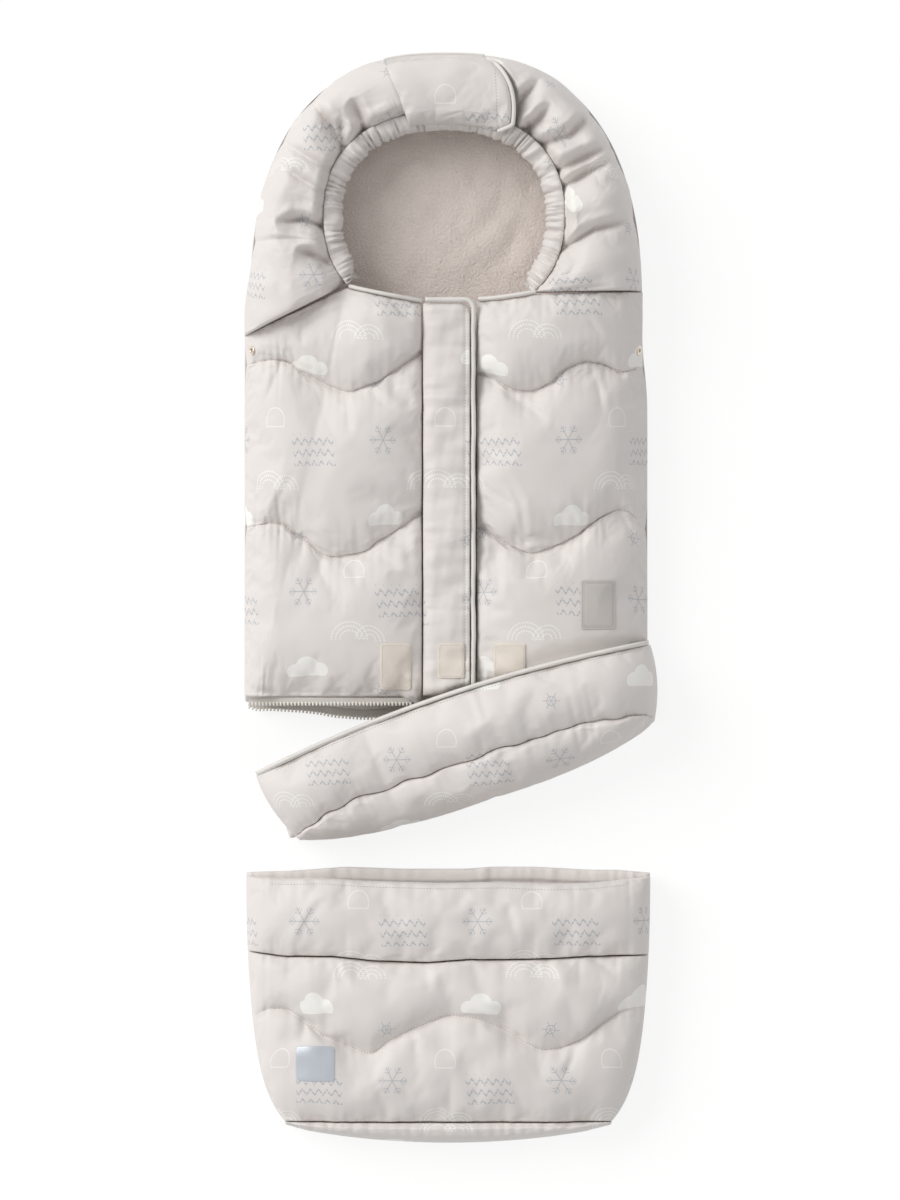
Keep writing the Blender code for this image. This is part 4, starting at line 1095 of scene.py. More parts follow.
def surface_of(*names):
    """Looks for the top surface of finished pieces, straight down."""
    graph = bpy.context.evaluated_depsgraph_get()
    trees = [BVHTree.FromObject(bpy.data.objects[name], graph) for name in names]

    def top(x, y):
        hits = [tree.ray_cast(Vector((x, y, 0.5)), Vector((0, 0, -1))) for tree in trees]
        hits = [(hit[0].z, hit[1]) for hit in hits if hit[0] is not None]
        return max(hits, key=lambda hit: hit[0]) if hits else None
    return top


def stitches(name, runs, surface, body, pitch, length=2.3 * MM, material="thread"):
    """Thread stitches that lie along lines on a finished surface."""
    places = []
    for run in runs:
        ends = resample(run, pitch)
        for (x0, y0), (x1, y1) in zip(ends, ends[1:]):
            x, y = (x0 + x1) / 2, (y0 + y1) / 2
            found = surface(x, y)
            if found is None or found[1].z < 0.15:
                continue
            normal = found[1]
            along = Vector((x1 - x0, y1 - y0, 0))
            along -= normal * along.dot(normal)
            places.append(frame_matrix((x, y, found[0] + 0.12 * MM), along, normal))
    bm = bmesh.new()
    bmesh.ops.create_icosphere(bm, subdivisions=1, radius=1.0)
    bmesh.ops.scale(bm, vec=(length / 2, 0.34 * MM, 0.3 * MM), verts=bm.verts)
    link(repeated(name, bm, places), MATERIALS[material], body)


def patch(
    name, surface, material, body, replaced, thick=1.1 * MM, corner=3 * MM, frame_lines=()
):
    """A sewn-on patch with rounded corners that follows the fabric below it."""
    centre, size = PATCHES[name]
    half = np.array(size) / 2
    u, v = np.meshgrid(*[even_spacing(int(side / (1.2 * MM))) for side in size])
    x, y = u * half[0], v * half[1]
    cut = np.maximum(0, np.abs(y) - (half[1] - corner)) ** 2
    cut_x = corner - np.sqrt((corner ** 2 - cut).clip(0))
    x = x * (half[0] - cut_x) / half[0]
    ground = np.array([
        [surface(centre[0] + px, centre[1] + py)[0] for px, py in zip(rx, ry)]
        for rx, ry in zip(x, y)
    ])
    smooth = ground.copy()
    for _ in range(6):
        inner = np.pad(smooth, 1, mode="edge")
        smooth = (inner[:-2, 1:-1] + inner[2:, 1:-1] + inner[1:-1, :-2] + inner[1:-1, 2:]) / 4
    smooth = np.maximum(smooth, ground)
    edge = np.minimum(half[0] - np.abs(x), half[1] - np.abs(y))
    top = smooth + thick
    for inset in frame_lines:
        top = top - 0.45 * MM * np.exp(-((edge - inset) / (0.55 * MM)) ** 2)
    top = top - min(0.5 * MM, 0.6 * thick) * np.exp(-edge / (0.8 * MM))
    grids = [points(centre[0] + x, centre[1] + y, z) for z in (top, smooth + 0.15 * MM)]
    link(slab(name, *grids, points(x, y)), MATERIALS[material], body, replaced)


# Sizes and colours that a user would change

def colour(name, description, default):
    return FloatVectorProperty(
        name=name, description=description, default=default, size=3, min=0, max=1, subtype="COLOR"
    )


def length(name, description, default, **limits):
    return FloatProperty(
        name=name, description=description, default=default, unit="LENGTH", precision=4, **limits
    )


def number(name, description, default, **limits):
    return FloatProperty(name=name, description=description, default=default, **limits)


class FOOTMUFF_PG_colours(bpy.types.PropertyGroup):
    shell: colour("Shell", "Ground colour of the printed shell fabric", (0.787, 0.747, 0.726))
    print_blue: colour("Print, blue-grey", "Lines of the print", (0.45, 0.475, 0.52))
    print_pale: colour("Print, off-white", "Filled shapes of the print", (0.97, 0.96, 0.93))
    binding: colour("Binding", "Folded edges and piping", (0.80, 0.775, 0.745))
    fleece: colour("Fleece", "Lining's short pile", (0.90, 0.80, 0.745))
    loop_tape: colour("Loop tape", "Hook-and-loop patches", (0.87, 0.80, 0.725))
    teeth: colour("Zip teeth", "Moulded teeth and slider bodies", (0.84, 0.81, 0.74))
    metal: colour("Snaps", "Plated snaps", (0.80, 0.70, 0.58))
    label: colour("Label", "Bare stitched label", (0.64, 0.605, 0.58))
    reflective: colour("Reflective patch", "Reflective film", (0.62, 0.66, 0.72))


class FOOTMUFF_PG_padding(bpy.types.PropertyGroup):
    seam_depth: length("Seam depth", "How far a sewn seam lies below the wadding", 0.015, min=0, max=0.03)
    gather_depth: length("Gathers", "Depth of small gathers along a seam", 0.0026, min=0, max=0.005)
    fold_depth: length("Hood folds", "Depth of the folds in the hood", 0.021, min=0, max=0.03)
    swell: length("Swell", "How far the wadding may push the fabric out", 0.008, min=0, max=0.016)
    pressure: number("Filling pressure", "Push of the wadding", 4.0, min=0, max=20)
    spare: number("Spare fabric", "Extra fabric between the seams", 0.05, min=0, max=0.2)
    frames: IntProperty(
        name="Steps", description="Steps that the filling is given to settle", default=20, min=1, max=60
    )


class FOOTMUFF_PG_trim(bpy.types.PropertyGroup):
    tooth_pitch: length("Tooth pitch", "Spacing of the zip's teeth", 0.0039, min=0.001, max=0.01)
    stitch_pitch: length("Stitch pitch", "Spacing of the stitches", 0.0034, min=0.001, max=0.01)
    snap_radius: length("Snap radius", "Outer radius of the ring snaps", 0.0048, min=0.002, max=0.01)
    ruffle: length("Ruffle", "Height of the gathered casing's ruffles", 0.0042, min=0, max=0.006)


class FOOTMUFF_PG_stage(bpy.types.PropertyGroup):
    sun: number("Key light", "Strength of the soft key light", 1.7, min=0, max=10)
    sky: number("Fill light", "Strength of the even light", 0.55, min=0, max=2)
    camera_height: length("Camera height", "Height of the camera above the floor", 9.0, min=1, max=30)
    lens: number("Lens", "Focal length in millimetres", 250.0, min=20, max=500)


def settings(context):
    scene = context.scene
    return scene.footmuff_colours, scene.footmuff_padding, scene.footmuff_trim, scene.footmuff_stage


# Pieces

class FOOTMUFF_OT_materials(bpy.types.Operator):
    """Make the fabrics, fleece, trims and metal"""
    bl_idname = "footmuff.materials"
    bl_label = "Materials"

    def execute(self, context):
        colours = settings(context)[0]
        make_materials(colours)
        for node, material in (
            ("neck_elastic", "elastic"), ("hood_flap_hook", "loop_node"), ("hood_flap_loop", "loop_node"),
        ):
            mesh = bpy.data.objects[node].data
            mesh.materials.clear()
            mesh.materials.append(MATERIALS[material])
        return {"FINISHED"}


def sagged(x, y, reach):
    """Share by which the back's foot end sags, and where its rows then lie."""
    sag = ramp(BACK_SAG_Y - y, reach)
    return sag, y + (BACK_ROW(x) + 8 * MM - BAG_END_Y).clip(None, 0) * sag


class FOOTMUFF_OT_back(bpy.types.Operator):
    """Build the padded back and its fleece"""
    bl_idname = "footmuff.back"
    bl_label = "Back"

    def execute(self, context):
        def plan(inset, rows, cols):
            low = np.linspace(BAG_END_Y + inset, HOOD_SPRING_Y, rows[0])
            turn = np.radians(np.linspace(0, 86, rows[1])[1:])
            wide, high = HALF_WIDTH - inset, HOOD_TOP_Y - HOOD_SPRING_Y - inset
            half = np.concatenate([np.full(rows[0], wide), wide * np.cos(turn) ** (2 / HOOD_EXPONENT)])
            y = np.concatenate([low, HOOD_SPRING_Y + high * np.sin(turn) ** (2 / HOOD_EXPONENT)])
            a = even_spacing(cols)
            y = np.broadcast_to(y[:, None], (len(y), cols))
            return drawn_in(a * half[:, None], y), y, a, half

        x, y, a, half = plan(0.0, (70, 46), 72)
        side = half[:, None] * (1 - np.abs(a)) / (34 * MM)
        far = np.minimum((HOOD_TOP_Y - y) / (34 * MM), (y - BAG_END_Y) / (30 * MM))
        edge = np.minimum(side, far).clip(0, 1)
        curl = rounded(edge)
        quilt = smooth_noise(x, y, 55 * MM, 3) * 0.9 * MM * (1 - edge)
        sag, y = sagged(x, y, 34 * MM)
        top = 21.8 * MM + 3.3 * MM * curl ** 3 * (1 - sag) - BACK_SAG * sag ** 2
        low = (21 * MM * curl * (1 - 0.55 * sag) + quilt * curl).clip(0)
        wadded("bag_back", x, y, top, low, "bag", ("back_outer", "back_wadding"),
               uv=arc_uv(points(x, y, low), 36, 40))

        x, y, a, half = plan(8 * MM, (110, 70), 110)
        wave = smooth_noise(x, y, 130 * MM, 11) * 1.6 + smooth_noise(x, y, 38 * MM, 12) * 0.8
        folds = creases(x, y, FLEECE_FOLDS, 4.5 * MM, 7 * MM)
        inside = np.minimum(1, (1 - np.abs(a)) * 9)
        top = 24.2 * MM + (wave * MM + 2.2 * MM - folds).clip(-0.4 * MM) * inside
        sag, y = sagged(x, y, 31 * MM)
        top = top - BACK_SAG * sag ** 2
        fleece_sheet(
            "fleece_back", x, y, top, top - 1.4 * MM, "bag", ("back_lining",),
            uv=points(x, y),
        )
        return {"FINISHED"}


class FOOTMUFF_OT_fronts(bpy.types.Operator):
    """Build the quilted front halves and their fleece"""
    bl_idname = "footmuff.fronts"
    bl_label = "Front halves"

    def execute(self, context):
        sizes = settings(context)[1]
        quilted_front(
            "front_left_quilt", left_front_grid(), left_profile,
            lambda x: x + HALF_WIDTH, lambda x: PLACKET_SEAM_X - x, 6 * MM,
            None, ("side_left_pad", "front_left_pad"), sizes, 21, LEFT_PULLS,
        )

        def under_foot(x, y):
            u = (x - FOOT_CORNER[0]) * math.cos(FOOT_TILT) + (y - FOOT_CORNER[1]) * math.sin(FOOT_TILT)
            v = (y - FOOT_CORNER[1]) * math.cos(FOOT_TILT) - (x - FOOT_CORNER[0]) * math.sin(FOOT_TILT)
            rim = lerp(*FOOT_RIM_V, (2 * u / FOOT_LENGTH + 1) ** 2)
            return right_profile(x, y) + 0.4 * MM + 0.45 * (v - rim - 9 * MM).clip(0)

        quilted_front(
            "front_right_quilt", right_front_grid(), right_profile,
            lambda x: HALF_WIDTH - x, lambda x: x - RIGHT_FRONT_X, 4 * MM,
            "bag", ("front_right_pad",), sizes, 31, RIGHT_PULLS, roof=under_foot,
        )
        rows = (26, 24, 12)
        for name, grid, body, replaced in (
            ("fleece_left", left_front_grid(rows, 40), None, ("side_left_lining", "front_left_lining")),
            ("fleece_right", right_front_grid(rows, 38), "bag", ("front_right_lining",)),
        ):
            x, y = grid[0] * (1 - 0.022 * (grid[0] / HALF_WIDTH) ** 8), grid[1]
            low = front_inner(x, y) + 0.1 * MM
            fleece_sheet(name, x, y, low + LINING - 0.2 * MM, low, body, replaced)
        return {"FINISHED"}


def ring_steps(r, step=None, count=None):
    """Even steps along the hood's ring at r: their t, their way from its left end, and the whole way."""
    t_all = np.linspace(0, T_END, 2000)
    px, py = ring_point(t_all, r)
    run = np.concatenate([[0], np.cumsum(np.hypot(np.diff(px), np.diff(py)))])
    t = np.interp(np.linspace(0, run[-1], count or int(run[-1] / step)), run, t_all)[None, :]
    return t, np.interp(t, t_all, run), run[-1]


class FOOTMUFF_OT_hood(bpy.types.Operator):
    """Build the padded hood around the face opening, with its fleece"""
    bl_idname = "footmuff.hood"
    bl_label = "Hood"

    def execute(self, context):
        sizes = settings(context)[1]
        t, s, whole = ring_steps(1.6, count=330)
        r = (1 + unit_spacing(42))[:, None]
        x, y = ring_point(t, r)
        pinch = np.zeros_like(x)
        for line in HOOD_FOLDS[:4] + HOOD_FOLDS[6:10] + HOOD_SEAMS:
            away = np.hypot(x - line[0][0], y - line[0][1])
            pinch = np.maximum(pinch, np.exp(-(away / (26 * MM)) ** 2))
        pull = pinch * ramp(r - 1.45, 0.55) * 0.013
        x = x - (x - FACE_CENTRE[0]) * pull
        y = y - (y - FACE_CENTRE[1]) * pull
        low = ring_inner(r) + LINING + GAP
        ends = np.minimum(1, np.minimum(whole - s, s) / (26 * MM))
        top = ring_top(r) - 9.5 * MM * (1 - (r - 1) / 0.16).clip(0) ** 2.2
        top = top - 11 * MM * rounded(ends) * (2 - r).clip(0) ** 0.9
        steep = HOOD_FOLDS[:1] + HOOD_FOLDS[3:]  # the other two are lit along their length
        folds = creases(x, y, steep, sizes.fold_depth, 7 * MM)
        folds = np.maximum(folds, creases(x, y, HOOD_FOLDS[1:3], 0.5 * sizes.fold_depth, 6 * MM))
        folds = np.maximum(folds, creases(x, y, HOOD_SEAMS, 7 * MM, 3 * MM))
        outer = ramp(2 - r, 0.2)
        swell = smooth_noise(x, y, 75 * MM, 44) * 2.4 * MM
        tucks = gathers(t * 30 * MM, (r - 1) * 110 * MM, 47, 3.0 * MM, 8.5 * MM, 18 * MM)
        tucks = tucks + sharp_folds(x, y, steep, 10 * MM, 4.4 * MM)
        tucks = (tucks + sharp_folds(x, y, HOOD_FOLDS[1:3], 4 * MM, 3.4 * MM)) * outer
        tucks = tucks + sharp_folds(x, y, HOOD_SEAMS, 2.2 * MM, 2.0 * MM)
        top = top + (swell - folds) * outer
        under = ramp(t - 13.12, 0.12) * ramp(flap_end(r) + 0.5 - t, 0.25)
        under = under * ramp(r - 1.0, 0.03) * ramp(1.97 - r, 0.04)
        top = np.maximum(top - 19 * MM * under * ramp(r - 0.75, 0.3), low + 2.2 * MM)
        pad(
            "hood_quilt", x, y, top, low, "bag", ("hood_left_pad", "hood_top_pad", "hood_right_pad"),
            uv=outward_uv(points(x, y, top)), cap=7 * MM, tucks=tucks * (1 - under),
        )
        held = PADS["hood_quilt"]["held"]
        near_fold = np.min([line_distance(x, y, line)[0] for line in HOOD_FOLDS + HOOD_SEAMS], axis=0)
        held |= (near_fold < 2.4 * MM) | (under > 0.05)

        t = np.linspace(0.3, T_END - 0.3, 110)[None, :]
        r = np.linspace(1.0, 1.93, 24)[:, None]
        x, y = ring_point(t, r)
        low = ring_inner(r) - 0.2 * MM
        fleece_sheet("fleece_hood", x, y, low + LINING - 0.1 * MM, low, "bag", ("hood_lining",),
                     uv=points(x, y))
        return {"FINISHED"}


def flap_end(r):
    """Right edge of the hood flap, which bulges between its rounded corners."""
    q = ramp(r - FLAP_IN, FLAP_OUT - FLAP_IN)
    return 17.5 + 0.75 * np.sin(math.pi * q ** 1.15) ** 0.7 - 0.75 * q ** 7


def flap_crown(r):
    """Top of the hood flap, which rises from the face's edge to the hood."""
    rise = 94 * MM + 16.6 * MM * (1 - (1 - ramp(r - FLAP_IN, 1.02)) ** 2.2)
    return np.where(r < 1.32, rise, ring_top(r) + 2.6 * MM)


def casing_level(r):
    return 70.5 * MM + (CASING_TOP - 71.5 * MM) * dome(1 - np.minimum(1, r * 1.15), 2.6, 0.6)


class FOOTMUFF_OT_casing(bpy.types.Operator):
    """Build the gathered casing around the face"""
    bl_idname = "footmuff.casing"
    bl_label = "Gathered casing"

    def execute(self, context):
        trim = settings(context)[2]
        t, s, whole = ring_steps(0.3, step=1.25 * MM)
        r = (np.sin(np.linspace(-1, 1, 15) * math.pi / 2) * 0.5 + 0.5)[:, None]
        phase = smooth_noise(s, 0, 34 * MM, 61) * 2.6 + r * 0.8 * smooth_noise(s, 0, 50 * MM, 62)
        pleat = np.abs(np.sin(s / (8.4 * MM) * math.pi + phase)) ** 0.6
        quiet = 1 - 0.62 * np.exp(-((t - 15.3) / 2.6) ** 4)
        pleat = pleat * 0.78 + 0.22 * np.abs(np.sin(s / (3.9 * MM) * math.pi + 2.3 * phase))
        amount = trim.ruffle * quiet * (0.35 + 0.65 * (1 - r) ** 0.7)
        amount = amount * (0.75 + 0.5 * smooth_noise(s, 0, 44 * MM, 63))
        bunches = smooth_noise(s, r * 9 * MM, 17 * MM, 64) * quiet
        shift = ((pleat - 0.5) * 3.7 * quiet + bunches * 1.1) * (1 - r) * MM / CASING_WIDTH
        from_end = np.minimum(s, whole - s)
        narrow = 0.12 + 0.88 * dome(1 - ramp(from_end, 24 * MM))
        x, y = ring_point(t, (1 - (1 - r + shift) * narrow).clip(-0.12, 1))
        inner = dome(1 - np.minimum(1, 1.6 * r))
        top = casing_level(r) - 2.5 * MM * (1 - (1 - r) / 0.12).clip(0) ** 2
        top = top + ((pleat - 0.8) * amount * 4.2 + bunches * 1.5 * MM) * (0.3 + 0.7 * inner)
        bottom = np.maximum(67.1 * MM, 69.5 * MM - 2.4 * MM * inner)
        top = np.maximum(top, bottom + 0.8 * MM)
        uv = points(s * 1.35, r * CASING_WIDTH)
        obj = link(
            slab("casing", points(x, y, top), points(x, y, bottom), uv), MATERIALS["shell"], "bag",
            ("neck_casing",),
        )
        return {"FINISHED"}


class FOOTMUFF_OT_hood_flap(bpy.types.Operator):
    """Build the hood's top flap and its bound edge"""
    bl_idname = "footmuff.hood_flap"
    bl_label = "Hood flap"

    def execute(self, context):
        share = np.linspace(0, 1, 72)[None, :]
        r = lerp(FLAP_IN, FLAP_OUT, unit_spacing(60))[:, None]
        x, y = ring_point(lerp(13.02, flap_end(r), share), r)
        low = np.maximum(ring_top(r) - 16.2 * MM, casing_level(r) + 2.4 * MM)
        down = np.where(r < 1, (r - FLAP_IN) * CASING_WIDTH, (r - 1) * 85 * MM + 13 * MM)
        drop = np.zeros_like(x)
        for edge, depth in (
            (share * 100 * MM, 3.4 * MM), ((1 - share) * 100 * MM, 6.5 * MM), (down, 5 * MM),
            ((FLAP_OUT - r) * 75 * MM, 7 * MM),
        ):
            drop = np.maximum(drop, depth * rounded(ramp(edge, 10 * MM)))
        wrinkles = creases(x, y, FLAP_WRINKLES, 4.5 * MM, 3.4 * MM)
        top = flap_crown(r) - drop - wrinkles + smooth_noise(x, y, 60 * MM, 71) * 1.1 * MM
        pad(
            "hood_flap_quilt", x, y, np.maximum(top, low + 1.6 * MM), low, "hood_flap",
            ("hood_flap_pad",), uv=points(x, y), cap=5 * MM, slack=0.25,
        )
        r = np.linspace(0.34, 1.93, 90)
        path = points(*ring_point(flap_end(r) + 0.13, r), flap_crown(r) - 5.6 * MM)
        band(
            "hood_flap_edge", path, 2.3 * MM, 4.6 * MM, "binding", "hood_flap", "binding",
            ("hood_flap_binding",), cols=9, power=2.4,
        )
        t = np.linspace(T_LEFT + 0.1, 16.9, 80)
        path = points(*ring_point(t, 1.978), ring_top(1.96) + 1.0 * MM)
        band("hood_piping", path, 1.6 * MM, 2.4 * MM, "binding", "bag", "binding")
        return {"FINISHED"}


class FOOTMUFF_OT_placket(bpy.types.Operator):
    """Build the placket over the front zip, with its light binding"""
    bl_idname = "footmuff.placket"
    bl_label = "Placket"

    def execute(self, context):
        left_x = -24.6 * MM
        x = lerp(left_x, 25.7 * MM, unit_spacing(26))[None, :]
        share_y = np.linspace(0, 1, 150)[:, None]
        end = left_end_y(x) - lerp(-1.5 * MM, 5.5 * MM, ramp(x - left_x, 22 * MM))
        corner = NECK_Y - 1.4 * MM - 6 * MM * ((x - 12 * MM) / (13.7 * MM)).clip(0) ** 2.4
        y = lerp(end, corner, share_y)
        low = front_inner(0, y) + 12.4 * MM - 2.4 * MM * ramp(-300 * MM - y, 8 * MM)
        share = ((x - 3 * MM) / (28 * MM)).clip(-1, 1)
        top = centre_top(y) + 3.2 * MM * (1 - share ** 2)
        ends = np.minimum(share_y, 1 - share_y) * 400 * MM
        top = top - 8 * MM * (1 - ramp(ends, 9 * MM)) ** 2
        top = top - 7 * MM * rounded(ramp(x - left_x, 12 * MM))
        waves = smooth_noise(x * 0.5, y, 42 * MM, 81) * 1.5 + smooth_noise(x, y, 16 * MM, 82) * 0.35
        tucks = pucker(y, np.minimum(x + 25 * MM, 26 * MM - x), 83, 0.9 * MM, 11 * MM)
        stitch_line = 1.1 * MM * np.exp(-((x - PLACKET_STITCH_X) / (1.1 * MM)) ** 2)
        top = np.maximum(top + waves * MM + tucks - stitch_line, low + 2 * MM)
        wadded("placket_quilt", x, y, top, low, "placket", ("placket_pad",))

        edge = [(29.2 * MM, v) for v in np.linspace(TRIM_END_Y - 5 * MM, NECK_Y - 9 * MM, 150)]
        edge += [
            (20.2 * MM + 9 * MM * math.cos(turn), NECK_Y - 9 * MM + 10.6 * MM * math.sin(turn))
            for turn in np.linspace(0.15, math.pi / 2, 9)
        ]
        edge += [(v, NECK_Y + 1.4 * MM) for v in np.linspace(15 * MM, -22 * MM, 14)]
        x, y = resample(edge, 2.4 * MM).T
        wobble = smooth_noise(x + y, 0, 60 * MM, 84)
        path = points(x + wobble * 0.3 * MM, y, centre_top(y) - 1.2 * MM + wobble * 0.5 * MM)
        band(
            "placket_edge", path, 2.4 * MM, 2.4 * MM, "binding", "placket", "binding",
            ("placket_binding",), cols=9,
        )
        return {"FINISHED"}


class FOOTMUFF_OT_neckline(bpy.types.Operator):
    """Build the bound neck edges of the front halves"""
    bl_idname = "footmuff.neckline"
    bl_label = "Neckline"

    def execute(self, context):
        for name, body, xs, neck, profile, node in (
            ("neck_edge_left", "front_left", (-104, -26), left_neck_y, left_profile, "neckline_binding_left"),
            ("neck_edge_right", "bag", (34.5, 96), right_neck_y, right_profile, "neckline_binding_right"),
        ):
            x = np.linspace(xs[0] * MM, xs[1] * MM, 60)
            y = neck(x) + 2.3 * MM
            z = profile(x, y - 3 * MM) - 15 * MM
            path = points(x, y, z + smooth_noise(x, y, 40 * MM, 91) * 0.6 * MM)
            band(name, path, 2.2 * MM, 5.6 * MM, "binding", body, "binding", (node,), cols=9, power=2.6)
        return {"FINISHED"}


def foot_place(u, v):
    c, s = math.cos(FOOT_TILT), math.sin(FOOT_TILT)
    return FOOT_CORNER[0] + u * c - v * s, FOOT_CORNER[1] + u * s + v * c


def foot_facts(a):
    """At a along the foot end: w from -1 to 1, the level of its inside, and a share that ends at its tips."""
    w = 2 * a / FOOT_LENGTH + 1
    over = ramp(a + 320 * MM, 120 * MM)
    seat = lerp(50 * MM, FOOT_SEAT, over)
    low = FOOT_BACK_TOP + (seat - FOOT_BACK_TOP) * (1 - np.abs(w) ** 7).clip(0) ** 0.5
    ends = 0.35 + 0.65 * dome(np.abs(w), 6)
    return w, low, ends


def foot_grid(a, b):
    """Plan of the foot end: a along it, b from -1 at its end over its seam at 0 to its rim at 1."""
    w, low, ends = foot_facts(a)
    seam = lerp(*FOOT_SEAM_V, np.abs(w) ** 4) + smooth_noise(a, 0, 52 * MM, 109) * 1.5 * MM
    end = lerp(*FOOT_END_V, np.abs(w) ** 3)
    rim = lerp(*FOOT_RIM_V, w ** 2)
    v = np.where(b < 0, lerp(seam, end, -b), lerp(seam, rim, b))
    v = np.where(b > 1, rim + 0.3 * MM + (b - 1) * 5 * MM, v)
    depth = (rim - v) / (rim - end)
    half = FOOT_LENGTH / 2
    u = -half + (a + half) * (1 - 0.10 * depth ** 2) * np.where(a < -half, 1.025, 0.99)
    return (*foot_place(u, v), w, low, ends)


class FOOTMUFF_OT_foot_end(bpy.types.Operator):
    """Build the short padded foot end that lies over the bag's corner"""
    bl_idname = "footmuff.foot_end"
    bl_label = "Foot end"

    def execute(self, context):
        swell = settings(context)[1].swell
        half = FOOT_LENGTH / 2
        a = (-half + half * even_spacing(118))[None, :]

        b = unit_spacing(30)[:, None]
        x, y, w, low, ends = foot_grid(a, b)
        low = low + FOOT_PAD_RISE
        top = low + FOOT_THICKNESS * ends * (0.62 + 0.38 * np.sin(math.pi * b))
        seam = 7.5 * MM * rounded(ramp(b, 0.2)) * ends
        rim = 5 * MM * rounded(ramp(1 - b, 0.2)) * ends
        tucks = gathers(a, b * 75 * MM, 101, 3.4 * MM, 13 * MM, 20 * MM)
        tucks = tucks + gathers(a, (1 - b) * 75 * MM, 103, 1.0 * MM, 21 * MM, 9 * MM)
        soft = smooth_noise(x, y, 80 * MM, 104) * 1.4 * MM
        top = np.maximum(top - seam - rim + soft * ends, low + 2.5 * MM)
        pad("foot_front_quilt", x, y, top, low, "foot_end", ("foot_front_pad",), cap=swell,
            tucks=tucks * ends)

        b = (even_spacing(24) * 0.5 - 0.5)[:, None]
        x, y, w, low, ends = foot_grid(a, b)
        base = low + FOOT_PAD_RISE
        crest = base + FOOT_THICKNESS * ends * 0.62
        around = dome(np.abs(b), 3.0, 0.55)
        seam = 7.5 * MM * rounded(ramp(-b, 0.2)) * ends
        tucks = gathers(a, -b * 45 * MM, 101, 4.2 * MM, 13 * MM, 17 * MM)
        soft = smooth_noise(x, y, 70 * MM, 106) * 1.3 * MM
        top = 12 * MM + (crest - 12 * MM) * around - seam + soft * ends * around
        rise = np.sin(ramp(b + 0.45, 0.45) * math.pi / 2)
        bottom = np.where(b < -0.45, 0, 20.6 * MM + (base - 20.6 * MM) * rise)
        bottom = bottom + 9 * MM * ((-b - 0.82) / 0.18).clip(0) ** 2
        bottom = bottom + 13 * MM * ((np.abs(w) - 0.9) / 0.1).clip(0) ** 2 * ramp(-b, 0.5)
        top = np.maximum(top, bottom + 2.5 * MM)
        pad("foot_gusset_quilt", x, y, top, bottom, "foot_end", ("foot_gusset",), cap=swell,
            tucks=tucks * ends * around)

        b = np.linspace(0.02, 0.985, 20)[:, None]
        x, y, w, low, ends = foot_grid((-half + 0.98 * half * even_spacing(70))[None, :], b)
        low = low + 2.8 * MM
        fleece_sheet("fleece_foot", x, y, low + LINING - 0.1 * MM, low, "foot_end", ("foot_lining",))

        left, right = -437 * MM, -74 * MM
        u = np.linspace(left, right, 60)[None, :]
        w = 2 * u / FOOT_LENGTH + 1
        inner = lerp(lerp(*FOOT_SEAM_V, np.abs(w) ** 4), lerp(*FOOT_END_V, np.abs(w) ** 3), 0.44)
        line = (-350 * MM - FOOT_CORNER[1] - u * math.sin(FOOT_TILT)) / math.cos(FOOT_TILT)
        outer = np.minimum(lerp(*FOOT_RIM_V, w ** 2) - 2 * MM, line)
        q = np.linspace(0, 1, 14)[:, None]
        v = lerp(inner + 0.6 * MM, outer - 0.6 * MM, q)
        x, y = foot_place(u, v)
        far = np.minimum(u - left, right - u) / (14 * MM)
        curl = rounded(np.minimum(np.minimum(q, 1 - q) * 5, far).clip(0, 1))
        wadded("foot_back_quilt", x, y, 19.6 * MM - 5 * MM * curl, 6 * MM * curl, "foot_end",
               ("foot_back_pad",), uv=arc_uv(points(x, y, 6 * MM * curl), 30, 7))

        a = np.linspace(-FOOT_LENGTH + 1 * MM, -1 * MM, 220)
        x, y, w, low, ends = foot_grid(a, np.full_like(a, 1.5))
        tall = FOOT_THICKNESS * ends * 0.62 * 0.5
        z = low + FOOT_PAD_RISE + tall
        wobble = smooth_noise(a, 0, 45 * MM, 108) * 0.9 * MM
        shaped = ribbon(points(x, y, z), 2.5 * MM, 1.0, 9, power=2.6)
        for side, lift in zip(shaped, (wobble, 0 * wobble)):
            side[..., 2] = z[:, None] + (side[..., 2] - z[:, None]) * (tall + 0.8 * MM)[:, None]
            side[..., 2] += lift[:, None]
        link(slab("foot_rim_edge", *shaped, arc_uv(shaped[0], 4, 0)), MATERIALS["binding"],
             "foot_end", ("foot_rim_binding",))
        return {"FINISHED"}


def extension_facts(a, y):
    """At a share a of the extension's half width: x, and the levels of its inside and its top."""
    depth = ((EXT_TOP_Y - y) / (265 * MM)).clip(0)
    half = 217.5 * MM - 22 * MM * depth ** 2.2 - 19.5 * MM * depth ** 9
    closing = 1 - depth ** 5
    inner = 22.1 * MM + 22 * MM * (1 - np.abs(a) ** 2.5) * closing
    high = 34 * MM + (lerp(62 * MM, EXT_PEAK, closing) - 34 * MM) * dome(a, 4)
    return EXT_CENTRE_X + a * half, inner, high


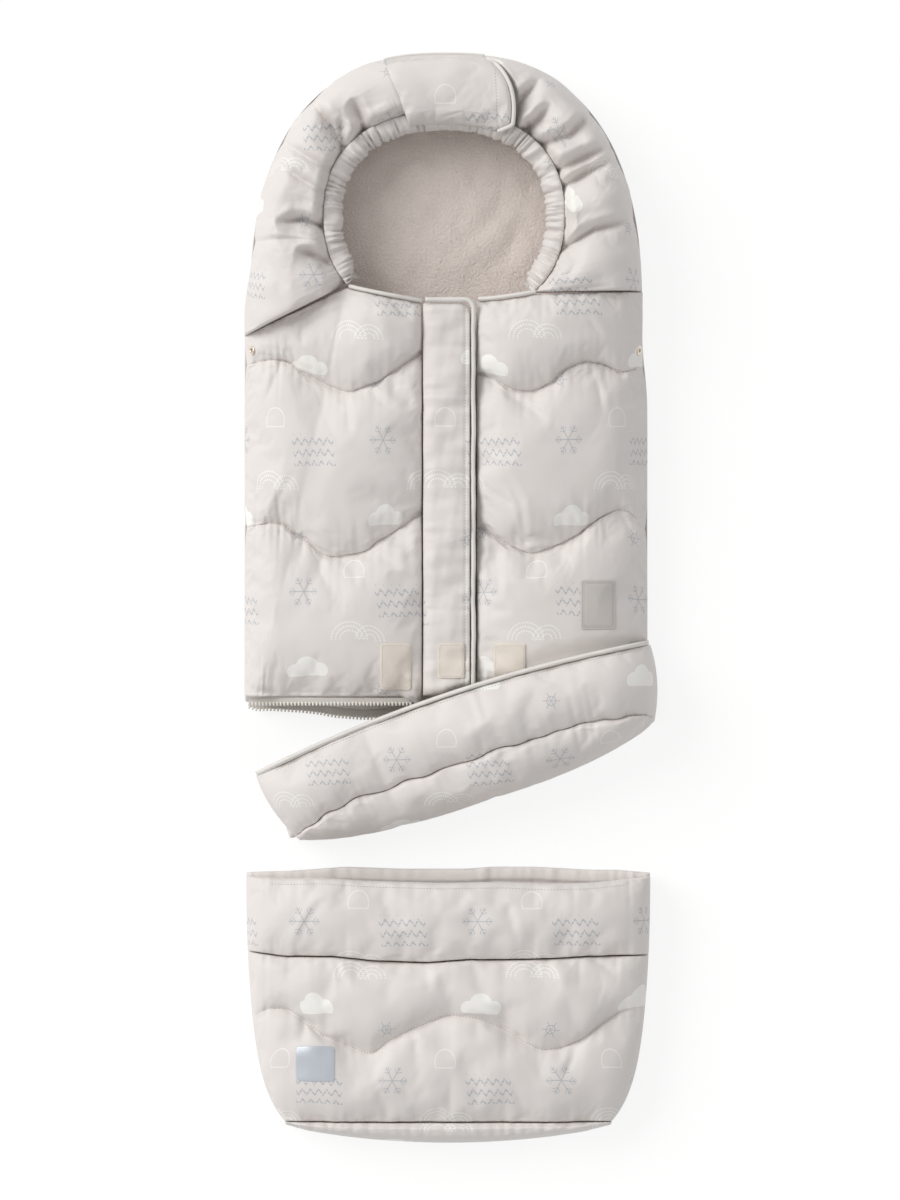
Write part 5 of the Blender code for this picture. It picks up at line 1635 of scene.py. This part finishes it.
class FOOTMUFF_OT_extension(bpy.types.Operator):
    """Build the separate foot extension"""
    bl_idname = "footmuff.extension"
    bl_label = "Foot extension"

    def execute(self, context):
        sizes = settings(context)[1]
        a = even_spacing(118)
        line_x = EXT_CENTRE_X + a * EXT_LINE_HALF
        side = (1 - np.abs(a)).clip(0, 0.16) / 0.16

        def section(name, lines, counts, depths, node, seed, lift):
            y, share, sewn = chambers(lines, counts)
            x, inner, high = extension_facts(np.broadcast_to(a, y.shape), y)
            low = inner + LINING + 0.4 * MM
            drop = seam_drop(share, [np.full_like(a, d) for d in depths]) * side
            top = high + lift - drop + smooth_noise(x, y, 70 * MM, seed + 4) * 1.6 * MM * side
            top = np.maximum(top, low + 2.4 * MM)
            tucks = gathers(x, seam_distance(y, lines), seed, sizes.gather_depth, 12 * MM)
            tucks = tucks * (side * 1.6).clip(0, 1)
            tucks = tucks + sharp_folds(x, y, EXTENSION_PULLS, 3.0 * MM, 3.4 * MM) * side
            pad(name, x, y, top, low, "extension", (node,), sewn=sewn, tucks=tucks)

        seam = CUFF_SEAM(line_x)
        wavy = EXTENSION_SEAM(EXT_CENTRE_X + a * 208 * MM)
        end = np.full_like(a, EXT_SEAM_Y + 0.2 * MM)
        section("extension_cuff_quilt", [seam + 0.2 * MM, LIP_LINE(line_x)], (28,),
                (13 * MM, 13 * MM), "extension_cuff", 121, 2 * MM)
        section("extension_front_quilt", [end, wavy, seam - 0.5 * MM], (28, 24),
                (10 * MM, 14 * MM, 13 * MM), "extension_front_pad", 131, 0.0)

        b = (even_spacing(20) * 0.5 - 0.5)[:, None]
        y = EXT_SEAM_Y - 0.3 * MM + b * (3 * MM + 18 * MM * (1 - a ** 2))
        x, inner, high = extension_facts(a, np.full_like(y, EXT_SEAM_Y))
        top = 14 * MM + (high - 14 * MM) * dome(b)
        top = top - 9 * MM * (1 - ramp(-b, 0.3)) ** 2 * side
        bottom = 7 * MM * ((-b - 0.7) / 0.3).clip(0) ** 2
        pad("extension_gusset_quilt", x, y, top, bottom, "extension", ("extension_gusset",), cap=3 * MM,
            slack=0.5, tucks=gathers(x, -b * 20 * MM, 141, 2.4 * MM, 12 * MM) * side)

        rim = RIM_LINE(line_x)
        y = lerp(EXT_SEAM_Y + 0.3 * MM, rim, np.linspace(0, 1, 76)[:, None] ** 0.6)
        x = extension_facts(a, y)[0]
        curl = rounded(np.minimum((1 - np.abs(a)) * 8, (rim - y) / (10 * MM)).clip(0, 1))
        hem = ramp(y - rim + 16 * MM, 3 * MM) * 2.6 * MM * (1 - 0.9 * curl)
        hem = hem + pucker(x, (rim - y).clip(0), 148, 1.8 * MM, 17 * MM) * (hem > 0)
        wadded("extension_back_quilt", x, y, 20 * MM + hem, 15 * MM * curl, "extension",
               ("extension_back_pad",), uv=arc_uv(points(x, y, 15 * MM * curl), 59, 38))

        a = even_spacing(70) * 0.985
        y = np.linspace(EXT_SEAM_Y + 2 * MM, EXT_BACK_Y - 22 * MM, 50)[:, None]
        x = extension_facts(a, y)[0]
        top = 21.7 * MM + smooth_noise(x, y, 50 * MM, 151) * 0.1 * MM
        fleece_sheet("fleece_extension_back", x, y, top, top - 1.3 * MM, "extension",
                     ("extension_lining_back",))
        lip = LIP_LINE(EXT_CENTRE_X + a * EXT_LINE_HALF) - 1 * MM
        y = lerp(EXT_SEAM_Y + 2 * MM, lip, np.linspace(0, 1, 50)[:, None])
        x, inner, high = extension_facts(a, y)
        low = inner + 0.2 * MM
        fleece_sheet("fleece_extension_front", x, y, low + LINING - 0.2 * MM, low, "extension",
                     ("extension_lining_front",))
        return {"FINISHED"}


def follow_fold(*names):
    """Pieces that cross the line along which the left front folds open. Their placement is baked into their
    meshes.
    """
    for name in names:
        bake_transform(bpy.data.objects[name])


class FOOTMUFF_OT_fill(bpy.types.Operator):
    """Fill all quilted pieces"""
    bl_idname = "footmuff.fill"
    bl_label = "Fill the quilting"

    def execute(self, context):
        sizes = settings(context)[1]
        fill_pads(sizes.pressure, sizes.spare, sizes.frames)
        follow_fold("front_left_quilt", "fleece_left")
        return {"FINISHED"}


def bevelled(bm, edges, offset, segments):
    bmesh.ops.bevel(
        bm, geom=edges, offset=offset, segments=segments, profile=0.5, material=-1, affect="EDGES"
    )


def tooth():
    bm = bmesh.new()
    bmesh.ops.create_cube(bm, size=1.0)
    bmesh.ops.scale(bm, vec=(2.2 * MM, 4.2 * MM, 2.0 * MM), verts=bm.verts)
    bevelled(bm, bm.edges[:], 0.45 * MM, 1)
    return bm


def zip_half(name, path, tape_side, width, pitch, body, node):
    """Tape with a row of teeth along its path. tape_side points from the teeth to the far edge."""
    path = resample(path, 2 * MM)
    side = np.asarray(tape_side, float)
    centre = path + side * (width / 2 + 0.6 * MM)
    across = np.array([side] * len(path))
    band(name + "_tape", centre, width / 2, 0.45 * MM, "tape", body, "zip", (node,), across=across, power=6)
    teeth = resample(path, pitch)
    along = np.gradient(teeth, axis=0)
    places = [frame_matrix(p + side * 0.2 * MM, d, (0, 0, 1)) for p, d in zip(teeth, along)]
    link(repeated(name + "_teeth", tooth(), places), MATERIALS["teeth"], body)


def slider(name, body, node, place, along, width):
    """Zip slider: two plates joined by a block at the front."""
    bm = bmesh.new()
    for z in (-2.3, 2.3):
        made = bmesh.ops.create_cube(bm, size=1.0)["verts"]
        bmesh.ops.scale(bm, vec=(SLIDER_LENGTH, width, 1.4 * MM), verts=made)
        for vert in made:
            if vert.co.x < 0:
                vert.co.y *= 0.68
        bmesh.ops.translate(bm, vec=(0, 0, z * MM), verts=made)
    made = bmesh.ops.create_cube(bm, size=1.0)["verts"]
    bmesh.ops.scale(bm, vec=(2.6 * MM, 2.2 * MM, 4.0 * MM), verts=made)
    bmesh.ops.translate(bm, vec=(SLIDER_LENGTH / 2 - 1.6 * MM, 0, 0), verts=made)
    bevelled(bm, bm.edges[:], 0.5 * MM, 2)
    bmesh.ops.transform(bm, matrix=frame_matrix(place, along, (0, 0, 1)), verts=bm.verts)
    link(mesh_object(name, bm), MATERIALS["metal"], body, (node,))


def puller(name, body, node, place, along):
    """Flat pull tab, narrow at the slider and wider towards its far end."""
    bm = bmesh.new()
    outline = [(0, 0.26), (0.16, 0.26), (0.3, 0.5), (0.86, 0.5), (1.0, 0.3)]
    outline += [(x, -y) for x, y in reversed(outline)]
    verts = [bm.verts.new((x * 24 * MM, y * 7 * MM, 0)) for x, y in outline]
    face = bm.faces.new(verts)
    bmesh.ops.inset_individual(bm, faces=[face], thickness=1.5 * MM)
    made = bmesh.ops.extrude_face_region(bm, geom=bm.faces[:])["geom"]
    raised = [v for v in made if isinstance(v, bmesh.types.BMVert)]
    bmesh.ops.translate(bm, vec=(0, 0, 1.1 * MM), verts=raised)
    bmesh.ops.translate(bm, vec=(0, 0, -0.55 * MM), verts=bm.verts)
    rim = [e for e in bm.edges if e.is_manifold and e.calc_face_angle(0) > 0.6]
    bevelled(bm, rim, 0.3 * MM, 2)
    bmesh.ops.transform(bm, matrix=frame_matrix(place, along, (0, 0, 1)), verts=bm.verts)
    link(mesh_object(name, bm), MATERIALS["metal"], body, (node,))


class FOOTMUFF_OT_zips(bpy.types.Operator):
    """Build the zips, their sliders and pullers"""
    bl_idname = "footmuff.zips"
    bl_label = "Zips"

    def execute(self, context):
        pitch = settings(context)[2].tooth_pitch
        x = np.linspace(-212 * MM, 212 * MM, 220)
        zip_half("bag_back_zip", points(x, BACK_ROW(x), END_ZIP_HEIGHT), (0, 1, 0), 8.8 * MM, pitch,
                 "bag", "bag_zip_back")
        for side, x0, x1, row_y, width, body in (
            ("left", -212, -38, -327.8, 6.2, None), ("right", 37, 211, -331.4, 4.2, "bag"),
        ):
            x = np.linspace(x0 * MM, x1 * MM, 90)
            path = points(x, row_y * MM, front_inner(x, BAG_END_Y) + 4.8 * MM)
            zip_half("bag_front_zip_" + side, path, (0, 1, 0), width * MM, pitch, body,
                     "bag_zip_front_" + side)
        follow_fold("bag_front_zip_left_tape", "bag_front_zip_left_teeth")

        for side, tape_side, x, end, width, body in (
            ("left", (-1, 0, 0), 18.2, -280, 12.5, "front_left"),
            ("right", (1, 0, 0), 21.8, -277, 9.4, "bag"),
        ):
            y = np.linspace(95 * MM, end * MM, 120)
            path = points(x * MM, y, front_inner(0, y) + 2.2 * MM)
            zip_half(f"front_zip_{side}_half", path, tape_side, width * MM, pitch, body, "front_zip_" + side)

        a = np.linspace(-FOOT_LENGTH * 0.93, -FOOT_LENGTH * 0.07, 120)
        x, y, w, low, ends = foot_grid(a, np.full_like(a, 0.93))
        down = (math.sin(FOOT_TILT), -math.cos(FOOT_TILT), 0)
        zip_half("foot_zip_half", points(x, y, low + 1.2 * MM), down, 8 * MM, pitch, "foot_end", "foot_zip")
        a = np.linspace(-0.86, 0.86, 120)
        x, inner, high = extension_facts(a, np.full_like(a, EXT_ZIP_Y))
        zip_half("extension_zip_half", points(x, EXT_ZIP_Y, inner - 1.5 * MM), (0, -1, 0), 8 * MM, pitch,
                 "extension", "extension_zip")

        along, slider_y = (0, 0.998, 0.06), -290 * MM
        place = Vector((ZIP_X, slider_y, front_inner(0, slider_y) + 2.2 * MM))
        slider("front_slider_body", "front_slider", "front_zip_slider", place, along, 10.6 * MM)
        puller("front_puller_tab", "front_puller", "front_zip_puller",
               place + Vector((0, 1.6, 4.6)) * MM, along)
        slider("bag_slider_body", "bag_slider", "bag_zip_slider", (205 * MM, -337 * MM, END_ZIP_HEIGHT),
               (-1, 0, 0), 6.6 * MM)
        puller("bag_puller_tab", "bag_puller", "bag_zip_puller", (203.3 * MM, -336 * MM, 15 * MM), (-1, 0, 0))
        return {"FINISHED"}


# Half sections of a snap, outwards in radii and upwards in steps of 2.2 mm
SNAP_PROFILES = {
    "ring": [
        (0.44, -0.3), (0.44, 0.35), (0.55, 0.5), (0.72, 0.36), (0.86, 0.44), (1.0, 0.26), (1.04, -0.1),
        (0.9, -0.3),
    ],
    "cap": [(0.0, -0.12), (0.2, -0.1), (0.4, -0.2), (0.4, -0.6), (0.0, -0.6)],
}


class FOOTMUFF_OT_snaps(bpy.types.Operator):
    """Build the ring snaps at the side seams"""
    bl_idname = "footmuff.snaps"
    bl_label = "Snaps"

    def execute(self, context):
        radius = settings(context)[2].snap_radius
        graph = context.evaluated_depsgraph_get()
        for side in ("left", "right"):
            low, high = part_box(f"snap_ring_{side}")
            cap_low, cap_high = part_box(f"snap_cap_{side}")
            centre, behind = (low + high) / 2, (cap_low + cap_high) / 2
            normal = (centre - behind).normalized()
            tree = BVHTree.FromObject(bpy.data.objects[f"front_{side}_quilt"], graph)
            hit = tree.ray_cast(centre + normal * 0.03, -normal)
            seat = hit[0] if hit[0] is not None else centre
            facing = (normal + (hit[1] if hit[0] is not None else normal)).normalized()
            for part, profile in SNAP_PROFILES.items():
                bm = bmesh.new()
                verts = [bm.verts.new((r * radius, 0, z * 2.2 * MM)) for r, z in profile]
                edges = [bm.edges.new(pair) for pair in zip(verts, verts[1:])]
                if part == "ring":
                    edges.append(bm.edges.new((verts[-1], verts[0])))
                bmesh.ops.spin(bm, geom=verts + edges, cent=(0, 0, 0), axis=(0, 0, 1), angle=math.tau,
                               steps=40, use_merge=True)
                bmesh.ops.remove_doubles(bm, verts=bm.verts[:], dist=1e-6)
                across = Vector((0, 1, 0)).cross(facing)
                matrix = frame_matrix(seat + facing * 0.4 * MM, across, facing)
                bmesh.ops.transform(bm, matrix=matrix, verts=bm.verts)
                obj = link(mesh_object(f"snap_{part}_metal_{side}", bm), MATERIALS["metal"], "bag",
                           (f"snap_{part}_{side}",))
                bevel = obj.modifiers.new("edges", "BEVEL")
                bevel.width, bevel.segments = 0.15 * MM, 2
        return {"FINISHED"}


class FOOTMUFF_OT_patches(bpy.types.Operator):
    """Sew on the loop tape patches, the bare label and the reflective patch"""
    bl_idname = "footmuff.patches"
    bl_label = "Patches"

    def execute(self, context):
        left, right = surface_of("front_left_quilt"), surface_of("front_right_quilt")
        middle, extension = surface_of("placket_quilt"), surface_of("extension_front_quilt")
        for side, body, surface in (
            ("left", "front_left", left), ("right", "bag", right), ("middle", "placket", middle),
        ):
            patch("loop_tape_" + side, surface, "loop", body, ("loop_patch_" + side,),
                  thick=1.9 * MM, corner=3.5 * MM)
        patch("bare_label", right, "label", "bag", ("label_patch",), frame_lines=LABEL_FRAME)
        patch("reflective_film", extension, "reflective", "extension", ("reflective_patch",),
              thick=0.5 * MM, corner=5 * MM)
        return {"FINISHED"}


def rounded_run(name, inset, corner):
    """Line of stitches just inside a patch's edge."""
    centre, size = PATCHES[name]
    half_x, half_y = size[0] / 2 - inset, size[1] / 2 - inset
    run = []
    for cx, cy, start in ((1, 1, 0), (-1, 1, 90), (-1, -1, 180), (1, -1, 270)):
        for angle in range(start, start + 91, 15):
            run.append((
                centre[0] + cx * (half_x - corner) + corner * math.cos(math.radians(angle)),
                centre[1] + cy * (half_y - corner) + corner * math.sin(math.radians(angle)),
            ))
    return run + run[:1]


class FOOTMUFF_OT_stitching(bpy.types.Operator):
    """Lay the stitches along seams, patches and bindings"""
    bl_idname = "footmuff.stitching"
    bl_label = "Stitching"

    def execute(self, context):
        pitch = settings(context)[2].stitch_pitch

        def wave(line, x0, x1, shift=0.0):
            x = np.linspace(x0, x1, 160)
            return points(x, line(x) + shift)

        def ring(t, r):
            return points(*ring_point(t, r))

        around = ring(np.linspace(0.3, T_END - 0.3, 400), 1.0)
        stitches("stitches_hood", [around], surface_of("hood_quilt", "casing"), "bag", pitch)
        left = [wave(line, -0.200, -0.032) for line in (LOWER_SEAM_LEFT, UPPER_SEAM_LEFT)]
        stitches("stitches_front_left", left, surface_of("front_left_quilt"), "front_left", pitch)
        right = [wave(line, 0.040, 0.205) for line in (LOWER_SEAM_RIGHT, UPPER_SEAM_RIGHT)]
        stitches("stitches_front_right", right, surface_of("front_right_quilt"), "bag", pitch)
        y = np.linspace(-0.296, 0.098, 300)
        line, edge = points(PLACKET_STITCH_X, y), points(27.2 * MM, y)
        stitches("stitches_placket", [line], surface_of("placket_quilt"), "placket", pitch)
        stitches("stitches_placket_edge", [edge], surface_of("placket_edge"), "placket", pitch,
                 material="pale_thread")
        flap = ring(17.35, np.linspace(1.1, 1.86, 60))
        stitches("stitches_flap", [flap], surface_of("hood_flap_quilt"), "hood_flap", pitch)

        for side, body in (("left", "front_left"), ("right", "bag"), ("middle", "placket")):
            tape = "loop_tape_" + side
            stitches("stitches_" + tape, [rounded_run(tape, 2.2 * MM, 2.5 * MM)], surface_of(tape),
                     body, 2.8 * MM, 2.0 * MM, "pale_thread")
        runs = [rounded_run("bare_label", inset, 2 * MM) for inset in LABEL_FRAME]
        stitches("stitches_label", runs, surface_of("bare_label"), "bag", 2.4 * MM, 1.6 * MM)

        a = np.linspace(-0.9, 0.9, 200) * FOOT_LENGTH / 2 - FOOT_LENGTH / 2
        foot = points(*foot_grid(a, np.full_like(a, 0.955))[:2])
        stitches("stitches_foot", [foot], surface_of("foot_front_quilt"), "foot_end", pitch)
        stitches(
            "stitches_extension",
            [wave(EXTENSION_SEAM, -0.185, 0.188), wave(CUFF_SEAM, -0.195, 0.200, -0.001),
             wave(LIP_LINE, -0.188, 0.192, -0.006)],
            surface_of("extension_front_quilt", "extension_cuff_quilt"), "extension", pitch,
        )
        return {"FINISHED"}


class FOOTMUFF_OT_stage(bpy.types.Operator):
    """Set up the floor, soft light and the camera straight above"""
    bl_idname = "footmuff.stage"
    bl_label = "Stage"

    def execute(self, context):
        stage = settings(context)[3]
        scene = context.scene
        scene.view_settings.view_transform = "Standard"

        bm = bmesh.new()
        bmesh.ops.create_grid(bm, x_segments=1, y_segments=1, size=4)
        bmesh.ops.translate(bm, vec=(0, -0.2, FLOOR_Z), verts=bm.verts)
        floor = mesh_object("floor", bm, smooth=False)
        scene.collection.objects.link(floor)
        paper = bpy.data.materials.new("White floor")
        paper.use_nodes = True
        tree = paper.node_tree
        shader = tree.nodes["Principled BSDF"]
        shader.inputs["Base Color"].default_value = (0.93, 0.93, 0.93, 1)
        shader.inputs["Roughness"].default_value = 0.9
        shader.inputs["Specular IOR Level"].default_value = 0.0
        seen = tree.nodes.new("ShaderNodeBsdfDiffuse")
        seen.inputs["Color"].default_value = (0.22, 0.22, 0.22, 1)
        glow = tree.nodes.new("ShaderNodeEmission")
        glow.inputs["Strength"].default_value = 0.82
        both = tree.nodes.new("ShaderNodeAddShader")
        rays = tree.nodes.new("ShaderNodeLightPath")
        pick = tree.nodes.new("ShaderNodeMixShader")
        tree.links.new(seen.outputs[0], both.inputs[0])
        tree.links.new(glow.outputs[0], both.inputs[1])
        seen_by = tree.nodes.new("ShaderNodeMath")
        seen_by.operation = "MAXIMUM"
        tree.links.new(rays.outputs["Is Camera Ray"], seen_by.inputs[0])
        tree.links.new(rays.outputs["Is Glossy Ray"], seen_by.inputs[1])
        tree.links.new(seen_by.outputs[0], pick.inputs[0])
        tree.links.new(shader.outputs[0], pick.inputs[1])
        tree.links.new(both.outputs[0], pick.inputs[2])
        tree.links.new(pick.outputs[0], tree.nodes["Material Output"].inputs["Surface"])
        floor.data.materials.append(paper)

        world = bpy.data.worlds.new("Even light")
        world.use_nodes = True
        background = world.node_tree.nodes["Background"]
        background.inputs["Color"].default_value = (1.0, 0.995, 0.985, 1)
        background.inputs["Strength"].default_value = stage.sky
        white = world.node_tree.nodes.new("ShaderNodeBackground")
        rays = world.node_tree.nodes.new("ShaderNodeLightPath")
        pick = world.node_tree.nodes.new("ShaderNodeMixShader")
        links = world.node_tree.links
        links.new(rays.outputs["Is Camera Ray"], pick.inputs[0])
        links.new(background.outputs[0], pick.inputs[1])
        links.new(white.outputs[0], pick.inputs[2])
        white.inputs["Color"].default_value = (1, 1, 1, 1)
        links.new(pick.outputs[0], world.node_tree.nodes["World Output"].inputs["Surface"])
        scene.world = world

        light = bpy.data.lights.new("Soft key", "SUN")
        light.energy = stage.sun
        light.angle = math.radians(38)
        light.color = (1.0, 0.99, 0.975)
        key = bpy.data.objects.new("Soft key", light)
        key.rotation_euler = Vector(KEY_DIRECTION).to_track_quat("Z", "Y").to_euler()
        scene.collection.objects.link(key)

        camera = bpy.data.cameras.new("Camera above")
        camera.lens = stage.lens
        camera.sensor_fit = "VERTICAL"
        camera.sensor_height = 36.0
        camera.clip_end = 50
        eye = bpy.data.objects.new("Camera above", camera)
        eye.location = (*VIEW_CENTRE, stage.camera_height)
        scene.collection.objects.link(eye)
        scene.camera = eye
        return {"FINISHED"}


STEPS = (
    "materials", "back", "fronts", "hood", "casing", "hood_flap", "placket", "neckline", "foot_end",
    "extension", "fill", "zips", "snaps", "patches", "stitching", "stage",
)


class FOOTMUFF_PT_panel(bpy.types.Panel):
    """Sizes, colours and steps of the footmuff"""
    bl_idname = "FOOTMUFF_PT_panel"
    bl_label = "Footmuff"
    bl_space_type = "VIEW_3D"
    bl_region_type = "UI"
    bl_category = "Footmuff"

    def draw(self, context):
        for group in settings(context):
            box = self.layout.box()
            for key in group.bl_rna.properties.keys():
                if key not in {"rna_type", "name"}:
                    box.prop(group, key)
        for step in STEPS:
            self.layout.operator("footmuff." + step)


CLASSES = (
    FOOTMUFF_PG_colours, FOOTMUFF_PG_padding, FOOTMUFF_PG_trim, FOOTMUFF_PG_stage,
    FOOTMUFF_OT_materials, FOOTMUFF_OT_back, FOOTMUFF_OT_fronts, FOOTMUFF_OT_hood, FOOTMUFF_OT_casing,
    FOOTMUFF_OT_hood_flap, FOOTMUFF_OT_placket, FOOTMUFF_OT_neckline, FOOTMUFF_OT_foot_end,
    FOOTMUFF_OT_extension, FOOTMUFF_OT_fill, FOOTMUFF_OT_zips, FOOTMUFF_OT_snaps, FOOTMUFF_OT_patches,
    FOOTMUFF_OT_stitching, FOOTMUFF_OT_stage, FOOTMUFF_PT_panel,
)


def register():
    for cls in CLASSES:
        bpy.utils.register_class(cls)
    bpy.types.Scene.footmuff_colours = PointerProperty(type=FOOTMUFF_PG_colours)
    bpy.types.Scene.footmuff_padding = PointerProperty(type=FOOTMUFF_PG_padding)
    bpy.types.Scene.footmuff_trim = PointerProperty(type=FOOTMUFF_PG_trim)
    bpy.types.Scene.footmuff_stage = PointerProperty(type=FOOTMUFF_PG_stage)


def unregister():
    for name in ("footmuff_colours", "footmuff_padding", "footmuff_trim", "footmuff_stage"):
        delattr(bpy.types.Scene, name)
    for cls in reversed(CLASSES):
        bpy.utils.unregister_class(cls)


def main():
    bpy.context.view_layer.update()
    register()
    for step in STEPS:
        result = getattr(bpy.ops.footmuff, step)()
        if result != {"FINISHED"}:
            raise RuntimeError("step " + step + " did not finish")


if __name__ == "__main__":
    main()
